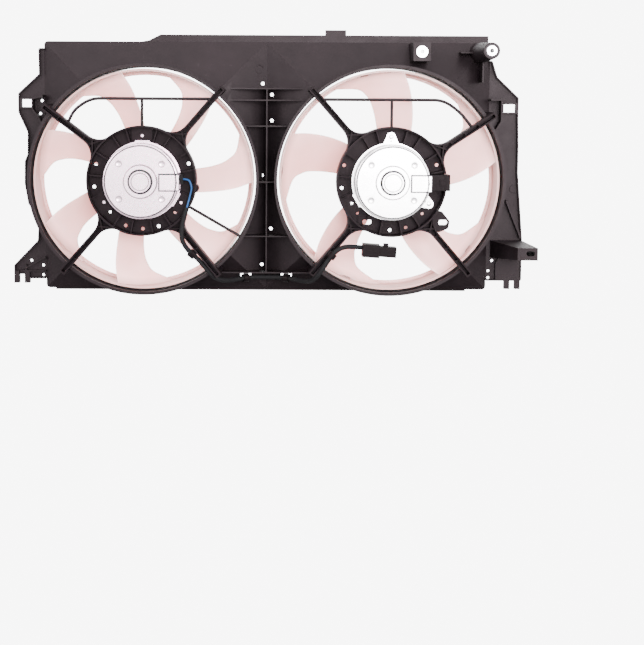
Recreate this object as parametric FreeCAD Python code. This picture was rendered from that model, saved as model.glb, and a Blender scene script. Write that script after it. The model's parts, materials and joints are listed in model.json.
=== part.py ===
import FreeCAD, Part
import math
import os

# Twin electric radiator fan: one moulded shroud with two barrels, two motor
# carriers on spokes, two fans with a band round their blades, and the lead of
# one motor. Millimetres. +X points right and +Z up when one looks at the
# motor side; +Y points to the radiator. The origin lies on the radiator side
# of the centre rib, midway between the fan axes. Depths are counted from that
# face towards the motors, so depth d is at Y = -d.

V = FreeCAD.Vector

# Barrels round the fans
BARREL_R = 169.5
BARREL_GAP = 32.0
BARREL_BACK = 72.0
BELL_RADIUS = 9.5
BELL_FRONT = 4.0
BEAD_WIDTH = 2.0
BEAD_DEPTH = 4.0
BARREL_TICKS = (25, 60, 90, 118, 180, 200, 240, 270, 300, 340)

# Lengths of the tools that cut right through, and the overlap of pieces that are fused
THROUGH = 200.0
OVERLAP = 1.0

# Shroud rim and panel
RIM_INSET = 10.0
ABOVE_BARREL = 40.5
BELOW_BARREL = 5.5
RIM_DEPTH = 8.0
WALL = 2.5
ROOF_SLOPE = 0.5
RIB_THICKNESS = 2.0
FAN_X = BARREL_R + BARREL_GAP / 2
RIM_HALF_WIDTH = FAN_X + BARREL_R - RIM_INSET
RIM_TOP = BARREL_R + ABOVE_BARREL
RIM_BOTTOM = BARREL_R + BELOW_BARREL
RIB_BACK = 38.0
CENTRE_RIB_Z = (138.0, 120.3, 80.8, -4.8, -88.6, -145.0)
CENTRE_HOLES = ((-6.4, 146.0), (7.8, 129.0), (7.8, 89.0), (-7.4, 3.7), (7.2, -79.6), (-6.7, -136.2))
MOULD_HOLE_R = 2.75
SMALL_HOLE_R = 2.25
RIM_CORNER_R = 6.0

# Top flange, tab and lips
FLANGE_TOP = RIM_TOP + 11.0
FLANGE_LEFT = 180.0 - RIM_HALF_WIDTH
FLANGE_RIGHT = RIM_HALF_WIDTH - 3.0
FLANGE_FRONT = 5.0
FLANGE_GUSSETS = (-138.0, -55.6, 59.5, 176.8, 293.5)
TAB_X = (90.0, 122.0)
TAB_TOP = FLANGE_TOP + 8.0
LIP_DEPTH = 14.0

# Bolt tower and bush bracket
TOWER_X = RIM_HALF_WIDTH - 17.0
TOWER_Z = RIM_TOP - 16.0
TOWER_BACK = 99.0
TOWER_BASE_R = 15.5
TOWER_END_R = 12.0
TOWER_BASE_DEPTH = 30.0
SLEEVE_R = 7.3
SLEEVE_BORE_R = 3.3
SLEEVE_LENGTH = 16.0
GROMMET_R = 9.6
POCKET_X = RIM_HALF_WIDTH - 113.0
POCKET_Z = RIM_TOP - 16.0
POCKET_WIDTH = 26.0
POCKET_HEIGHT = 28.0
POCKET_BACK = 61.0
POCKET_RISE = 18.0
BUSH_R = 7.0
BUSH_FLANGE_R = 8.6
BUSH_BORE_R = 3.25
BUSH_LENGTH = 9.0

# Side wings with their forks, windows and the eye lug
WING_FRONT = 5.5
WING_EDGE = 8.0
CORNER_R = 3.0
FORK_SLOT = 8.4
PRONG = 8.0
FORK_DEPTH = 13.0
LEFT_FORK_X = -RIM_HALF_WIDTH - 37.4
RIGHT_FORK_X = RIM_HALF_WIDTH + 40.7
LEFT_FORK_BOTTOM = -167.0
RIGHT_FORK_BOTTOM = -173.0
LEFT_WINDOW = (-RIM_HALF_WIDTH - 35.0, -RIM_HALF_WIDTH - 18.1, 108.2, 119.9)
RIGHT_WINDOW = (RIM_HALF_WIDTH + 21.6, RIM_HALF_WIDTH + 40.4, 103.5, 115.8)
LUG_BACK = 97.0
LUG_TOP = -96.5
LUG_HEIGHT = 18.5
RIGHT_WING_WIDTH = 54.8
LUG_OVERHANG = 3.2
LUG_RIGHT = RIM_HALF_WIDTH + RIGHT_WING_WIDTH + LUG_OVERHANG
LUG_WIDTH = 30.0
EYE_WIDTH = 12.4
EYE_HEIGHT = 7.4
LUG_ROOT = 21.5
LUG_FLARE = 8.0
LUG_CLEARANCE = 0.3
GRID_COUNT = 4
GRID_PITCH = 8.0

# Motor carriers and spokes
CARRIER_R = 81.7
CARRIER_FRONT = 71.0
CARRIER_BACK = 92.0
CARRIER_WALL = 2.2
CARRIER_BORE_R = 46.0
CARRIER_RIB_BACK = 86.0
CARRIER_HOLE_CIRCLE = 73.4
SPOKE_WIDTH = 9.0
SPOKE_FRONT = BARREL_BACK
SPOKE_BACK = 88.0
SPOKE_END_R = BARREL_R + 13.5
SPOKE_WEB_PITCH = 24.0
FLARE_R = 27.4
CROSS_ANGLE = 12.0
CROSS_LENGTH = 14.0
CARRIER_RIBS = (12, 32, 57, 73, 107, 123, 148, 174, 200, 238, 258, 282, 303)
CARRIER_HOLES = (20, 161, 188, 270, 289)
SMALL_HOLE_CIRCLE = 68.5
SMALL_HOLES = (224.5, 315)
EAR_COVER_WIDTH = 31.0
EAR_COVER_GAP = 0.4
WIRE_BOSS_ANGLE = -8.0
WIRE_BOSS_R = 6.5
GUARD_Z = 121.7
GUARD_R = 2.3
GUARD_POST_R = 2.1
GUARD_DEPTH = 78.0
SOCKET_NOTCH = 13.0
SOCKET_HALF = 11.5
SOCKET_LIFT = 6.0
SOCKET_REACH = 85.0
SOCKET_COLLAR = 7.0
SOCKET_DEPTH = 15.0
SOCKET_WALL = 2.2
LEAD_NOTCH = 24.0
LEAD_NOTCH_ANGLE = -36.0
SLOT_PAD_X = (-34.5, 79.3)
SLOT_PAD_Z = -61.2
SLOT_PAD_THICKNESS = 5.5
SLOT_LENGTH = 14.0
SLOT_WIDTH = 8.0

# Motors
MOTOR_R = 56.0
MOTOR_FLANGE_R = 58.2
CAN_WALL = 1.8
PLATE_THICKNESS = 2.5
MOTOR_BACK = 104.0
SCREW_CIRCLE = 66.6
SCREW_ANGLES = (90, 210, 330)
SCREW_R = 2.5
SCREW_HEAD_R = 4.6
SCREW_HEAD = 2.5
SCREW_END = 1.0
EAR_R = 7.0
EAR_HOLE_R = 3.3
EAR_SPREAD = 17.0
EAR_PIN_R = 1.2
EAR_PIN_CIRCLE = 60.4
BOSS_R = 5.5
BOSS_HEIGHT = 3.0
BEARING_CAP_R = 17.6
BEARING_CAP_BACK = 109.0
CAP_STEP_R = 24.6
CAP_STEP_BACK = 106.0
CAP_ROUND = 1.0
CAP_DISH_R = 13.0
CAP_DISH = 0.6
CAN_ROUND = 3.0
CAN_STEP = 0.8
CAN_STEP_R = 52.5
CAN_FLANGE = 2.0
DIMPLE_X = 31.5
DIMPLE_Z = 26.0
DIMPLE_R = 4.2
DIMPLE_DEPTH = 0.8
COVER_START = 27.5
COVER_Z = (-13.5, 11.0)
COVER_THICKNESS = 1.6
COVER_FLAP = 4.7
COVER_HOLE_X = 53.0
FRONT_BOSS_R = 14.0
FRONT_BOSS_FRONT = 62.5
SHAFT_R = 4.0
SHAFT_FRONT = 5.0
FIT = 0.03
PRESS_FIT = 0.02
PIECE_GAP = 0.3
BEARING_R = 11.0
BEARING_WIDTH = 8.0
ARMATURE_R = 43.5
CORE_FRONT = 80.0
CORE_BACK = 92.0
WINDING_R = 38.0
WINDING_OVERHANG = 2.5
SLOT_COUNT = 12
MAGNET_THICKNESS = 6.5
MAGNET_COUNT = 4
MAGNET_ARC = 68.0
COMMUTATOR_R = 13.0
BRUSH_WIDTH = 7.0
BRUSH_LENGTH = 14.0

# Fans
BAND_GAP = 3.0
BAND_WALL = 3.0
BAND_LIP = 8.5
BAND_EDGE_R = 1.0
BAND_FRONT = 22.0
BAND_BACK = 60.0
HUB_R = 61.0
HUB_WALL = 2.5
HUB_FRONT = 15.0
HUB_BACK = 65.0
HUB_ROUND = 4.0
HUB_DISH_R = 27.5
HUB_DISH_DEPTH = 1.5
HUB_STEP_R = 44.0
HUB_STEP = 0.7
HUB_CROWN = 1.0
HUB_HOLE_R = 1.3
HUB_HOLE_CIRCLE = 50.5
HUB_HOLE_SHIFT = 2.6
HUB_BOSS_R = 12.0
HUB_BOSS_BACK = 44.0
HUB_RIBS = 8
HUB_RIB_DROP = 12.0
BLADE_THICKNESS = 2.6
BLADE_EDGE_THICKNESS = 1.4
BLADE_CAMBER = 3.5
BLADE_FRONT_HUB = 23.0
BLADE_FRONT_TIP = 30.0
BLADE_BACK = 58.0
NUT_FLANGE_R = 13.5
NUT_R = 9.0
NUT_FRONT = 8.0

# Lead of the left motor
LEAD_R = 3.5
WIRE_R = 1.3
CLIP_R = 6.2
CLIP_BORE_GAP = 0.7
CLIP_WIDTH = 9.0
CLIP_FOOT = 8.0
CLIP_HOLE = (17.0, 12.0)
CLIP_X = 31.5
CLIP_Z = -152.0
CONNECTOR_TOP = 6.0
CONNECTOR_TILT = -4.0
CONNECTOR_BACK_SIZE = (25.0, 19.0, 21.0)
CONNECTOR_FRONT_SIZE = (25.0, 15.0, 17.0)

# Sizes that follow from the ones above
BARREL_OUT_R = BARREL_R + WALL
COLLAR_IN_R = BARREL_R + BELL_RADIUS
COLLAR_R = COLLAR_IN_R + WALL
BAND_R = BARREL_R - BAND_GAP
BAND_IN_R = BAND_R - BAND_WALL
PLATE_FRONT = CARRIER_FRONT + WALL
PLATE_BACK = PLATE_FRONT + PLATE_THICKNESS
CAN_IN_R = MOTOR_R - CAN_WALL
COMMUTATOR_FRONT = CORE_BACK + WINDING_OVERHANG
REAR_BEARING_FRONT = BEARING_CAP_BACK - CAN_WALL - BEARING_WIDTH
FRONT_BEARING_FRONT = FRONT_BOSS_FRONT + CAN_WALL
COMMUTATOR_BACK = REAR_BEARING_FRONT - PIECE_GAP
WING_BACK = WING_FRONT + WALL

# What differs between the two fans; angles in degrees from +X towards +Z.
# Each blade row is a share of the span from the hub to the band, the offset of the
# trailing edge and the offset of the leading edge.
LEFT = {
    "x": -FAN_X,
    "blades": 7,
    "first_edge": 86.0,
    "rows": ((-0.05, -1.5, 30.0), (0.21, 3.3, 27.6), (0.44, 7.2, 27.7), (0.66, 10.3, 30.3),
             (0.80, 12.5, 34.3), (0.87, 13.8, 38.9), (0.94, 15.0, 43.0), (1.01, 16.0, 46.0)),
    "spokes": (49.0, 143.0, 229.0, 309.0),
    "covered_ears": (90, 210, 330),
    "extra_holes": (249.4,),
    "hub_holes": tuple(49.4 + 360 / 7 * index for index in range(7)),
}
RIGHT = {
    "x": FAN_X,
    "blades": 5,
    "first_edge": 63.3,
    "rows": ((-0.05, -1.5, 40.0), (0.21, 3.5, 38.6), (0.44, 8.0, 38.7), (0.66, 12.5, 41.0),
             (0.80, 15.4, 46.0), (0.87, 17.0, 52.5), (0.94, 18.6, 58.0), (1.01, 20.0, 62.0)),
    "spokes": (33.3, 131.0, 229.7, 310.5),
    "covered_ears": (210,),
    "extra_holes": (),
    "hub_holes": (28, 77, 114, 153, 202, 250, 296, 342),
}


def spot(x, depth, z):
    """Point at a depth behind the radiator face."""
    return V(x, -depth, z)


def block(x0, x1, d0, d1, z0, z1):
    return Part.makeBox(x1 - x0, d1 - d0, z1 - z0, V(x0, -d1, z0))


def disc(x, z, radius, d0, d1):
    return Part.makeCylinder(radius, d1 - d0, spot(x, d0, z), V(0, -1, 0))


def tube(x, z, outer, inner, d0, d1):
    return disc(x, z, outer, d0, d1).cut(disc(x, z, inner, d0 - 1, d1 + 1))


def prism(points, d0, d1):
    """Straight-sided outline in X and Z, given thickness in depth."""
    ring = [spot(x, d0, z) for x, z in points]
    return Part.Face(Part.makePolygon(ring + ring[:1])).extrude(V(0, d0 - d1, 0))


def rounded_face(points, radius, depth):
    """Face of an outline whose corners are arcs, smaller where the sides are short."""
    edges = []
    count = len(points)
    corners = []
    for index in range(count):
        here = V(*points[index], 0)
        before = V(*points[index - 1], 0).sub(here)
        after = V(*points[(index + 1) % count], 0).sub(here)
        half = before.getAngle(after) / 2
        cut = min(radius / math.tan(half), 0.45 * before.Length, 0.45 * after.Length)
        start = here.add(before.normalize().multiply(cut))
        end = here.add(after.normalize().multiply(cut))
        inward = before.add(after)
        size = cut * math.tan(half)
        middle = here.add(inward.normalize().multiply(cut / math.cos(half) - size))
        corners.append([spot(p.x, depth, p.y) for p in (start, middle, end)])
    for index, (start, middle, end) in enumerate(corners):
        edges.append(Part.Arc(start, middle, end).toShape())
        edges.append(Part.LineSegment(end, corners[(index + 1) % count][0]).toShape())
    return Part.Face(Part.Wire(edges))


def turned(x, profile):
    """Solid turned about the axis at x; an entry is a radius and depth, or an arc's middle and end."""
    points = [spot(x + entry[-2], entry[-1], 0) for entry in profile]
    edges = []
    for index, entry in enumerate(profile):
        if len(entry) == 4:
            edge = Part.Arc(points[index - 1], spot(x + entry[0], entry[1], 0), points[index])
        else:
            edge = Part.LineSegment(points[index - 1], points[index])
        edges.append(edge.toShape())
    return upright(Part.Face(Part.Wire(edges)).revolve(V(x, 0, 0), V(0, 1, 0), 360))


def bend(centre_r, centre_d, radius, start, end):
    """Arc entry of a turned profile; 0 degrees points outwards and 90 degrees to the back."""
    turns = (math.radians((start + end) / 2), math.radians(end))
    middle, last = [(centre_r + radius * math.cos(turn), centre_d + radius * math.sin(turn))
                    for turn in turns]
    return middle + last


def upright(solid):
    if solid.Volume < 0:
        solid.reverse()
    return solid


def polar(x, radius, angle):
    turn = math.radians(angle)
    return x + radius * math.cos(turn), radius * math.sin(turn)


def bar(start, end, width, d0, d1):
    """Straight bar between two points of the X-Z plane."""
    along = V(end[0] - start[0], end[1] - start[1], 0).normalize()
    side = V(-along.y, along.x, 0).multiply(width / 2)
    corners = [(start[0] + side.x, start[1] + side.y), (end[0] + side.x, end[1] + side.y),
               (end[0] - side.x, end[1] - side.y), (start[0] - side.x, start[1] - side.y)]
    return prism(corners, d0, d1)


def spoke_bar(x, angle, r0, r1, width, d0, d1):
    return bar(polar(x, r0, angle), polar(x, r1, angle), width, d0, d1)


def joined(shapes):
    """One shape from touching or overlapping shapes."""
    first, rest = shapes[0], list(shapes[1:])
    return first.multiFuse(rest).removeSplitter() if rest else first


def group(shapes):
    return Part.makeCompound(list(shapes))


def save(name, shape):
    shape.exportStep(os.path.join("parts", name + ".step"))
    print(name, round(shape.Volume), len(shape.Solids), shape.isValid())


def rectangle(x0, x1, z0, z1, depth):
    corners = [spot(x0, depth, z0), spot(x1, depth, z0), spot(x1, depth, z1), spot(x0, depth, z1)]
    return Part.makePolygon(corners + corners[:1])


def roof(x0, x1, z0, z1, front, eaves, ridge):
    """Block from front to eaves with a hipped roof that is cut off flat at the ridge depth."""
    inset = (ridge - eaves) / ROOF_SLOPE
    low = rectangle(x0, x1, z0, z1, eaves)
    high = rectangle(x0 + inset, x1 - inset, z0 + inset, z1 - inset, ridge)
    return block(x0, x1, front, eaves, z0, z1).fuse(upright(Part.makeLoft([low, high], True, True)))


def half_outer(sign):
    """Outer form of one half of the panel; the halves share the centre rib."""
    x0, x1 = sorted((-sign * WALL / 2, sign * RIM_HALF_WIDTH))
    return roof(x0, x1, -RIM_BOTTOM, RIM_TOP, 0, RIM_DEPTH, BARREL_BACK - WALL)


def half_inner(sign):
    """Hollow of one half of the panel, a wall inside the outer form."""
    slant = WALL * math.hypot(1, ROOF_SLOPE)
    x0, x1 = sorted((sign * WALL / 2, sign * (RIM_HALF_WIDTH - WALL)))
    eaves = RIM_DEPTH - slant + ROOF_SLOPE * WALL
    return roof(x0, x1, WALL - RIM_BOTTOM, RIM_TOP - WALL, -1, eaves, BARREL_BACK - WALL - slant)


def bell_profile(x, inner_side):
    """Edges of the bell mouth from the collar to the barrel, on one side of the wall."""
    centre = (COLLAR_IN_R, BELL_FRONT + BELL_RADIUS)
    radius = BELL_RADIUS if inner_side else BELL_RADIUS - WALL
    diagonal = radius * math.sqrt(0.5)
    top = spot(x + centre[0], centre[1] - radius, 0)
    mid = spot(x + centre[0] - diagonal, centre[1] - diagonal, 0)
    low = spot(x + centre[0] - radius, centre[1], 0)
    return top, mid, low


def bell_tool(x):
    """Everything inside the outer skin of a barrel and its bell mouth."""
    top, mid, low = bell_profile(x, False)
    front = spot(x + COLLAR_IN_R, -1, 0)
    back = spot(x + BARREL_OUT_R, BARREL_BACK + 1, 0)
    lines = [Part.LineSegment(spot(x, -1, 0), front), Part.LineSegment(front, top),
             Part.Arc(top, mid, low), Part.LineSegment(low, back),
             Part.LineSegment(back, spot(x, BARREL_BACK + 1, 0)),
             Part.LineSegment(spot(x, BARREL_BACK + 1, 0), spot(x, -1, 0))]
    face = Part.Face(Part.Wire([line.toShape() for line in lines]))
    return upright(face.revolve(V(x, 0, 0), V(0, 1, 0), 360))


def barrel(side):
    """Barrel with its bell mouth, back bead, the collar outside the rim, and small gussets."""
    x = side["x"]
    in_top, in_mid, in_low = bell_profile(x, True)
    out_top, out_mid, out_low = bell_profile(x, False)
    bead = spot(x + BARREL_OUT_R, BARREL_BACK - BEAD_DEPTH, 0)
    bead_out = spot(x + BARREL_OUT_R + BEAD_WIDTH, BARREL_BACK - BEAD_DEPTH, 0)
    bead_back = spot(x + BARREL_OUT_R + BEAD_WIDTH, BARREL_BACK, 0)
    back = spot(x + BARREL_R, BARREL_BACK, 0)
    lines = [Part.Arc(in_top, in_mid, in_low), Part.LineSegment(in_low, back),
             Part.LineSegment(back, bead_back), Part.LineSegment(bead_back, bead_out),
             Part.LineSegment(bead_out, bead), Part.LineSegment(bead, out_low),
             Part.Arc(out_low, out_mid, out_top), Part.LineSegment(out_top, in_top)]
    face = Part.Face(Part.Wire([line.toShape() for line in lines]))
    skin = upright(face.revolve(V(x, 0, 0), V(0, 1, 0), 360))
    collar = tube(x, 0, COLLAR_R, COLLAR_IN_R, 0, RIM_DEPTH + WALL)
    collar = collar.cut(block(-RIM_HALF_WIDTH, RIM_HALF_WIDTH, -1, BARREL_BACK, -RIM_BOTTOM, RIM_TOP))
    shelf = tube(x, 0, COLLAR_IN_R, COLLAR_IN_R - WALL / 2, BELL_FRONT, BELL_FRONT + WALL)
    ticks = [spoke_bar(x, angle, BARREL_OUT_R - 1, BARREL_OUT_R + BEAD_WIDTH, RIB_THICKNESS,
                       BARREL_BACK - 5 * BEAD_DEPTH, BARREL_BACK - BEAD_DEPTH / 2)
             .cut(disc(x, 0, BARREL_OUT_R - 0.5, 0, BARREL_BACK + 1)) for angle in BARREL_TICKS]
    return joined([skin, shelf, collar] + ticks)


def panel():
    """Rim, hipped panel of both halves, centre rib and the ribs between the barrels."""
    outer = half_outer(-1).fuse(half_outer(1))
    shell = outer.cut(half_inner(-1)).cut(half_inner(1))
    reach = 2 * (RIB_BACK - RIM_DEPTH) + 8
    ribs = [block(-reach, reach, RIM_DEPTH - 3, RIB_BACK, z - RIB_THICKNESS / 2, z + RIB_THICKNESS / 2)
            for z in CENTRE_RIB_Z]
    ribs.append(block(-RIB_THICKNESS / 2, RIB_THICKNESS / 2, RIM_DEPTH - 3, RIB_BACK,
                      CENTRE_RIB_Z[-1], CENTRE_RIB_Z[0]))
    hollow = half_inner(-1).fuse(half_inner(1))
    webs = [rib.cut(hollow) for rib in ribs]
    lip = block(-RIM_HALF_WIDTH + 15, RIM_HALF_WIDTH - 32, WING_FRONT, WING_BACK,
                -RIM_BOTTOM - WALL, -RIM_BOTTOM)
    body = joined([shell, lip] + webs)
    body = body.cut(rim_corners())
    for side in (LEFT, RIGHT):
        body = body.cut(bell_tool(side["x"]))
        body = body.cut(disc(side["x"], 0, COLLAR_R, -1, RIM_DEPTH + WALL)
                        .cut(block(-2 * RIM_HALF_WIDTH, 2 * RIM_HALF_WIDTH, -2, BARREL_BACK,
                                   -RIM_BOTTOM, RIM_TOP)))
    for x, z in CENTRE_HOLES:
        body = body.cut(disc(x, z, MOULD_HOLE_R, -1, RIB_BACK))
    width, height = CLIP_HOLE
    for x in (-CLIP_X, CLIP_X):
        body = body.cut(block(x - width / 2, x + width / 2, -1, RIB_BACK,
                              CLIP_Z - height / 2, CLIP_Z + height / 2))
    body = body.cut(disc(TOWER_X, TOWER_Z, TOWER_END_R, WALL, RIB_BACK))
    body = body.cut(block(POCKET_X - POCKET_WIDTH / 2, POCKET_X + POCKET_WIDTH / 2, WALL, RIB_BACK,
                          POCKET_Z - POCKET_HEIGHT / 2, RIM_TOP - WALL))
    return max(body.Solids, key=lambda solid: solid.Volume)


def rim_corners():
    """What the rounded corners of the rim leave out of its square outline."""
    pieces = []
    for sign in (-1, 1):
        for edge, way in ((-RIM_BOTTOM, 1), (RIM_TOP, -1)):
            x, z = sign * RIM_HALF_WIDTH, edge
            square = block(*sorted((x + sign, x - sign * RIM_CORNER_R)), -1, BARREL_BACK,
                           *sorted((z - way, z + way * RIM_CORNER_R)))
            round_part = disc(x - sign * RIM_CORNER_R, z + way * RIM_CORNER_R, RIM_CORNER_R, -2, THROUGH)
            pieces.append(square.cut(round_part))
    return group(pieces)


def above_roof(shape):
    """The part of a shape that stands clear of the panel's outer form."""
    return shape.cut(half_outer(-1)).cut(half_outer(1))


def top_flange():
    """Upright flange on the top rim with its gussets, its tab and the lip along its edge."""
    outline = [(FLANGE_LEFT - 30, RIM_TOP), (FLANGE_LEFT - 18, RIM_TOP + 2), (FLANGE_LEFT, FLANGE_TOP),
               (FLANGE_RIGHT, FLANGE_TOP), (FLANGE_RIGHT, RIM_TOP)]
    plate = prism(outline, FLANGE_FRONT, FLANGE_FRONT + WALL)
    lip = block(FLANGE_LEFT + 48, FLANGE_RIGHT, FLANGE_FRONT - 3, FLANGE_FRONT, FLANGE_TOP - WALL, FLANGE_TOP)
    tab = block(TAB_X[0], TAB_X[1], FLANGE_FRONT - 3, FLANGE_FRONT + WALL, FLANGE_TOP - WALL, TAB_TOP)
    slope = [(FLANGE_FRONT + WALL - 0.5, RIM_TOP), (LIP_DEPTH, RIM_TOP),
             (FLANGE_FRONT + WALL - 0.5, FLANGE_TOP - 1)]
    gussets = []
    for x in FLANGE_GUSSETS:
        ring = [V(x - RIB_THICKNESS / 2, -d, z) for d, z in slope]
        gussets.append(Part.Face(Part.makePolygon(ring + ring[:1])).extrude(V(RIB_THICKNESS, 0, 0)))
    trimmed = [gusset.common(block(-500, 500, 0, RIM_DEPTH, RIM_TOP, TAB_TOP)) for gusset in gussets]
    return joined([plate, lip, tab] + trimmed)


def tower():
    """Hollow cone that stands on the panel and carries the bolt sleeve at its end."""
    taper = (TOWER_BASE_R - TOWER_END_R) / (TOWER_BACK - TOWER_BASE_DEPTH)
    base_r = TOWER_BASE_R + taper * TOWER_BASE_DEPTH
    end_wall = TOWER_BACK - SLEEVE_LENGTH
    cone = Part.makeCone(base_r, TOWER_END_R, TOWER_BACK, spot(TOWER_X, 0, TOWER_Z), V(0, -1, 0))
    core = Part.makeCone(base_r - WALL, TOWER_END_R - WALL, end_wall, spot(TOWER_X, 0, TOWER_Z), V(0, -1, 0))
    fins = [above_roof(block(TOWER_X - base_r - 16, TOWER_X, RIM_DEPTH, TOWER_BASE_DEPTH + 6,
                             TOWER_Z - 1, TOWER_Z + 1)),
            above_roof(block(TOWER_X - 1, TOWER_X + 1, RIM_DEPTH, TOWER_BASE_DEPTH + 10,
                             TOWER_Z - base_r - 28, TOWER_Z))]
    body = joined([above_roof(cone)] + fins).cut(core)
    body = body.cut(disc(TOWER_X, TOWER_Z, GROMMET_R, TOWER_BACK - SLEEVE_LENGTH, TOWER_BACK + 1))
    clear_rim = block(RIM_HALF_WIDTH, RIM_HALF_WIDTH + 40, -1, TOWER_BACK, 0, RIM_TOP)
    clear_top = block(0, RIM_HALF_WIDTH, -1, LIP_DEPTH, RIM_TOP, FLANGE_TOP)
    return body.cut(clear_rim.common(disc(TOWER_X, TOWER_Z, 3 * TOWER_BASE_R, 0, RIM_DEPTH))).cut(clear_top)


def tower_grommet():
    return tube(TOWER_X, TOWER_Z, GROMMET_R, SLEEVE_R, TOWER_BACK - SLEEVE_LENGTH, TOWER_BACK)


def tower_sleeve():
    return tube(TOWER_X, TOWER_Z, SLEEVE_R, SLEEVE_BORE_R, TOWER_BACK - SLEEVE_LENGTH, TOWER_BACK + 1)


def bush_pocket():
    """Box bracket at the top, open to the radiator, with a bush in its back wall."""
    x0, x1 = POCKET_X - POCKET_WIDTH / 2, POCKET_X + POCKET_WIDTH / 2
    z0, z1 = POCKET_Z - POCKET_HEIGHT / 2, POCKET_Z + POCKET_HEIGHT / 2
    outer = above_roof(block(x0, x1, RIM_DEPTH, POCKET_BACK, z0, z1))
    hollow = block(x0 + WALL, x1 - WALL, 0, POCKET_BACK - WALL, z0 + WALL, z1 - WALL)
    return outer.cut(hollow).cut(disc(POCKET_X, POCKET_Z, BUSH_R, 0, POCKET_BACK + 1))


def pocket_bush():
    """Flanged metal bush pressed into the pocket's back wall."""
    body = disc(POCKET_X, POCKET_Z, BUSH_R, POCKET_BACK + 1 - BUSH_LENGTH, POCKET_BACK)
    flange = disc(POCKET_X, POCKET_Z, BUSH_FLANGE_R, POCKET_BACK, POCKET_BACK + 1)
    bore = disc(POCKET_X, POCKET_Z, BUSH_BORE_R, 0, TOWER_BACK)
    return body.fuse(flange).cut(bore)


def rimmed(points):
    """Flat plate with an upright edge round its outline."""
    face = rounded_face(points, CORNER_R, WING_FRONT)
    plate = face.extrude(V(0, -WALL, 0))
    rim = face.extrude(V(0, -WING_EDGE, 0)).cut(
        face.makeOffset2D(-RIB_THICKNESS).extrude(V(0, -WING_EDGE, 0)))
    return plate.fuse(rim)


def beside_rim(shape):
    """The part of a wing that lies outside the rim and the barrel collars."""
    shape = shape.cut(block(-RIM_HALF_WIDTH, RIM_HALF_WIDTH, -1, BARREL_BACK, -RIM_BOTTOM - 3, RIM_TOP + 3))
    for side in (LEFT, RIGHT):
        shape = shape.cut(disc(side["x"], 0, COLLAR_R, -1, BARREL_BACK))
    return shape


def fork(x, bottom):
    """Two prongs below a wing, with the slot between them centred on x."""
    return [block(x + FORK_SLOT / 2, x + FORK_SLOT / 2 + PRONG, WING_FRONT, WING_FRONT + WING_EDGE,
                  bottom, bottom + FORK_DEPTH + 6),
            block(x - FORK_SLOT / 2 - PRONG, x - FORK_SLOT / 2, WING_FRONT, WING_FRONT + WING_EDGE,
                  bottom, bottom + FORK_DEPTH + 6)]


def window_frame(window, back):
    """Collar round a window, standing out from the wing."""
    x0, x1, z0, z1 = window
    frame = block(x0 - WALL, x1 + WALL, WING_FRONT, back, z0 - WALL, z1 + WALL)
    return frame.cut(block(x0, x1, 0, back + 1, z0, z1))


def left_wing():
    """Wing beside the seven-blade fan, with its window and the waist past the barrel."""
    edge = -RIM_HALF_WIDTH
    outline = [(edge + 10, 199), (edge - 8, 199), (edge - 7.5, 159), (edge - 40, 129), (edge - 40, 100),
               (edge - 26, 69), (edge - 26.5, 35), (edge - 31, 24), (edge - 31.5, -11), (edge - 26, -43),
               (edge - 12, -59), (edge + 10, -59)]
    body = rimmed(outline)
    x0, x1, z0, z1 = LEFT_WINDOW
    pocket = prism([(edge, 127), (x1 + 1, 122), (x1 + 1, 104), (edge - 8, 92), (edge, 72)],
                   WING_FRONT, WING_FRONT + 18)
    pocket = pocket.cut(prism([(edge + 2, 124), (x1 + 3, 120), (x1 + 3, 105), (edge - 6, 93), (edge + 2, 76)],
                              WING_BACK, WING_FRONT + 19))
    body = joined([body, window_frame(LEFT_WINDOW, WING_FRONT + WING_EDGE), pocket])
    body = body.cut(block(x0, x1, 0, 30, z0, z1))
    for x, z in ((edge - 4.3, 118), (edge - 7, 98)):
        body = body.cut(disc(x, z, SMALL_HOLE_R, 0, 30))
    return max(beside_rim(body).Solids, key=lambda solid: solid.Volume)


def left_foot():
    """Ribbed foot below the left wing, with the fork at its end."""
    edge = -RIM_HALF_WIDTH
    outline = [(edge + 10, -71), (edge - 10.5, -71), (edge - 12, -100), (edge - 49.5, -139),
               (edge - 49.5, -160), (edge + 10, -160)]
    ribs = [bar((edge, -126), (edge - 32, -144), RIB_THICKNESS, WING_FRONT, WING_FRONT + WING_EDGE),
            bar((edge, -148), (edge - 40, -148), RIB_THICKNESS, WING_FRONT, WING_FRONT + WING_EDGE),
            bar((edge - 31, -138), (edge - 31, -160), RIB_THICKNESS, WING_FRONT, WING_FRONT + WING_EDGE)]
    body = joined([rimmed(outline)] + ribs + fork(LEFT_FORK_X, LEFT_FORK_BOTTOM))
    body = body.cut(block(LEFT_FORK_X - FORK_SLOT / 2, LEFT_FORK_X + FORK_SLOT / 2, 0, 30,
                          LEFT_FORK_BOTTOM - 1, LEFT_FORK_BOTTOM + FORK_DEPTH))
    for x, z in ((edge - 23.3, -132.3), (edge - 5, -139.7), (edge - 5, -155)):
        body = body.cut(disc(x, z, SMALL_HOLE_R, 0, 30))
    return max(beside_rim(body).Solids, key=lambda solid: solid.Volume)


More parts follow.
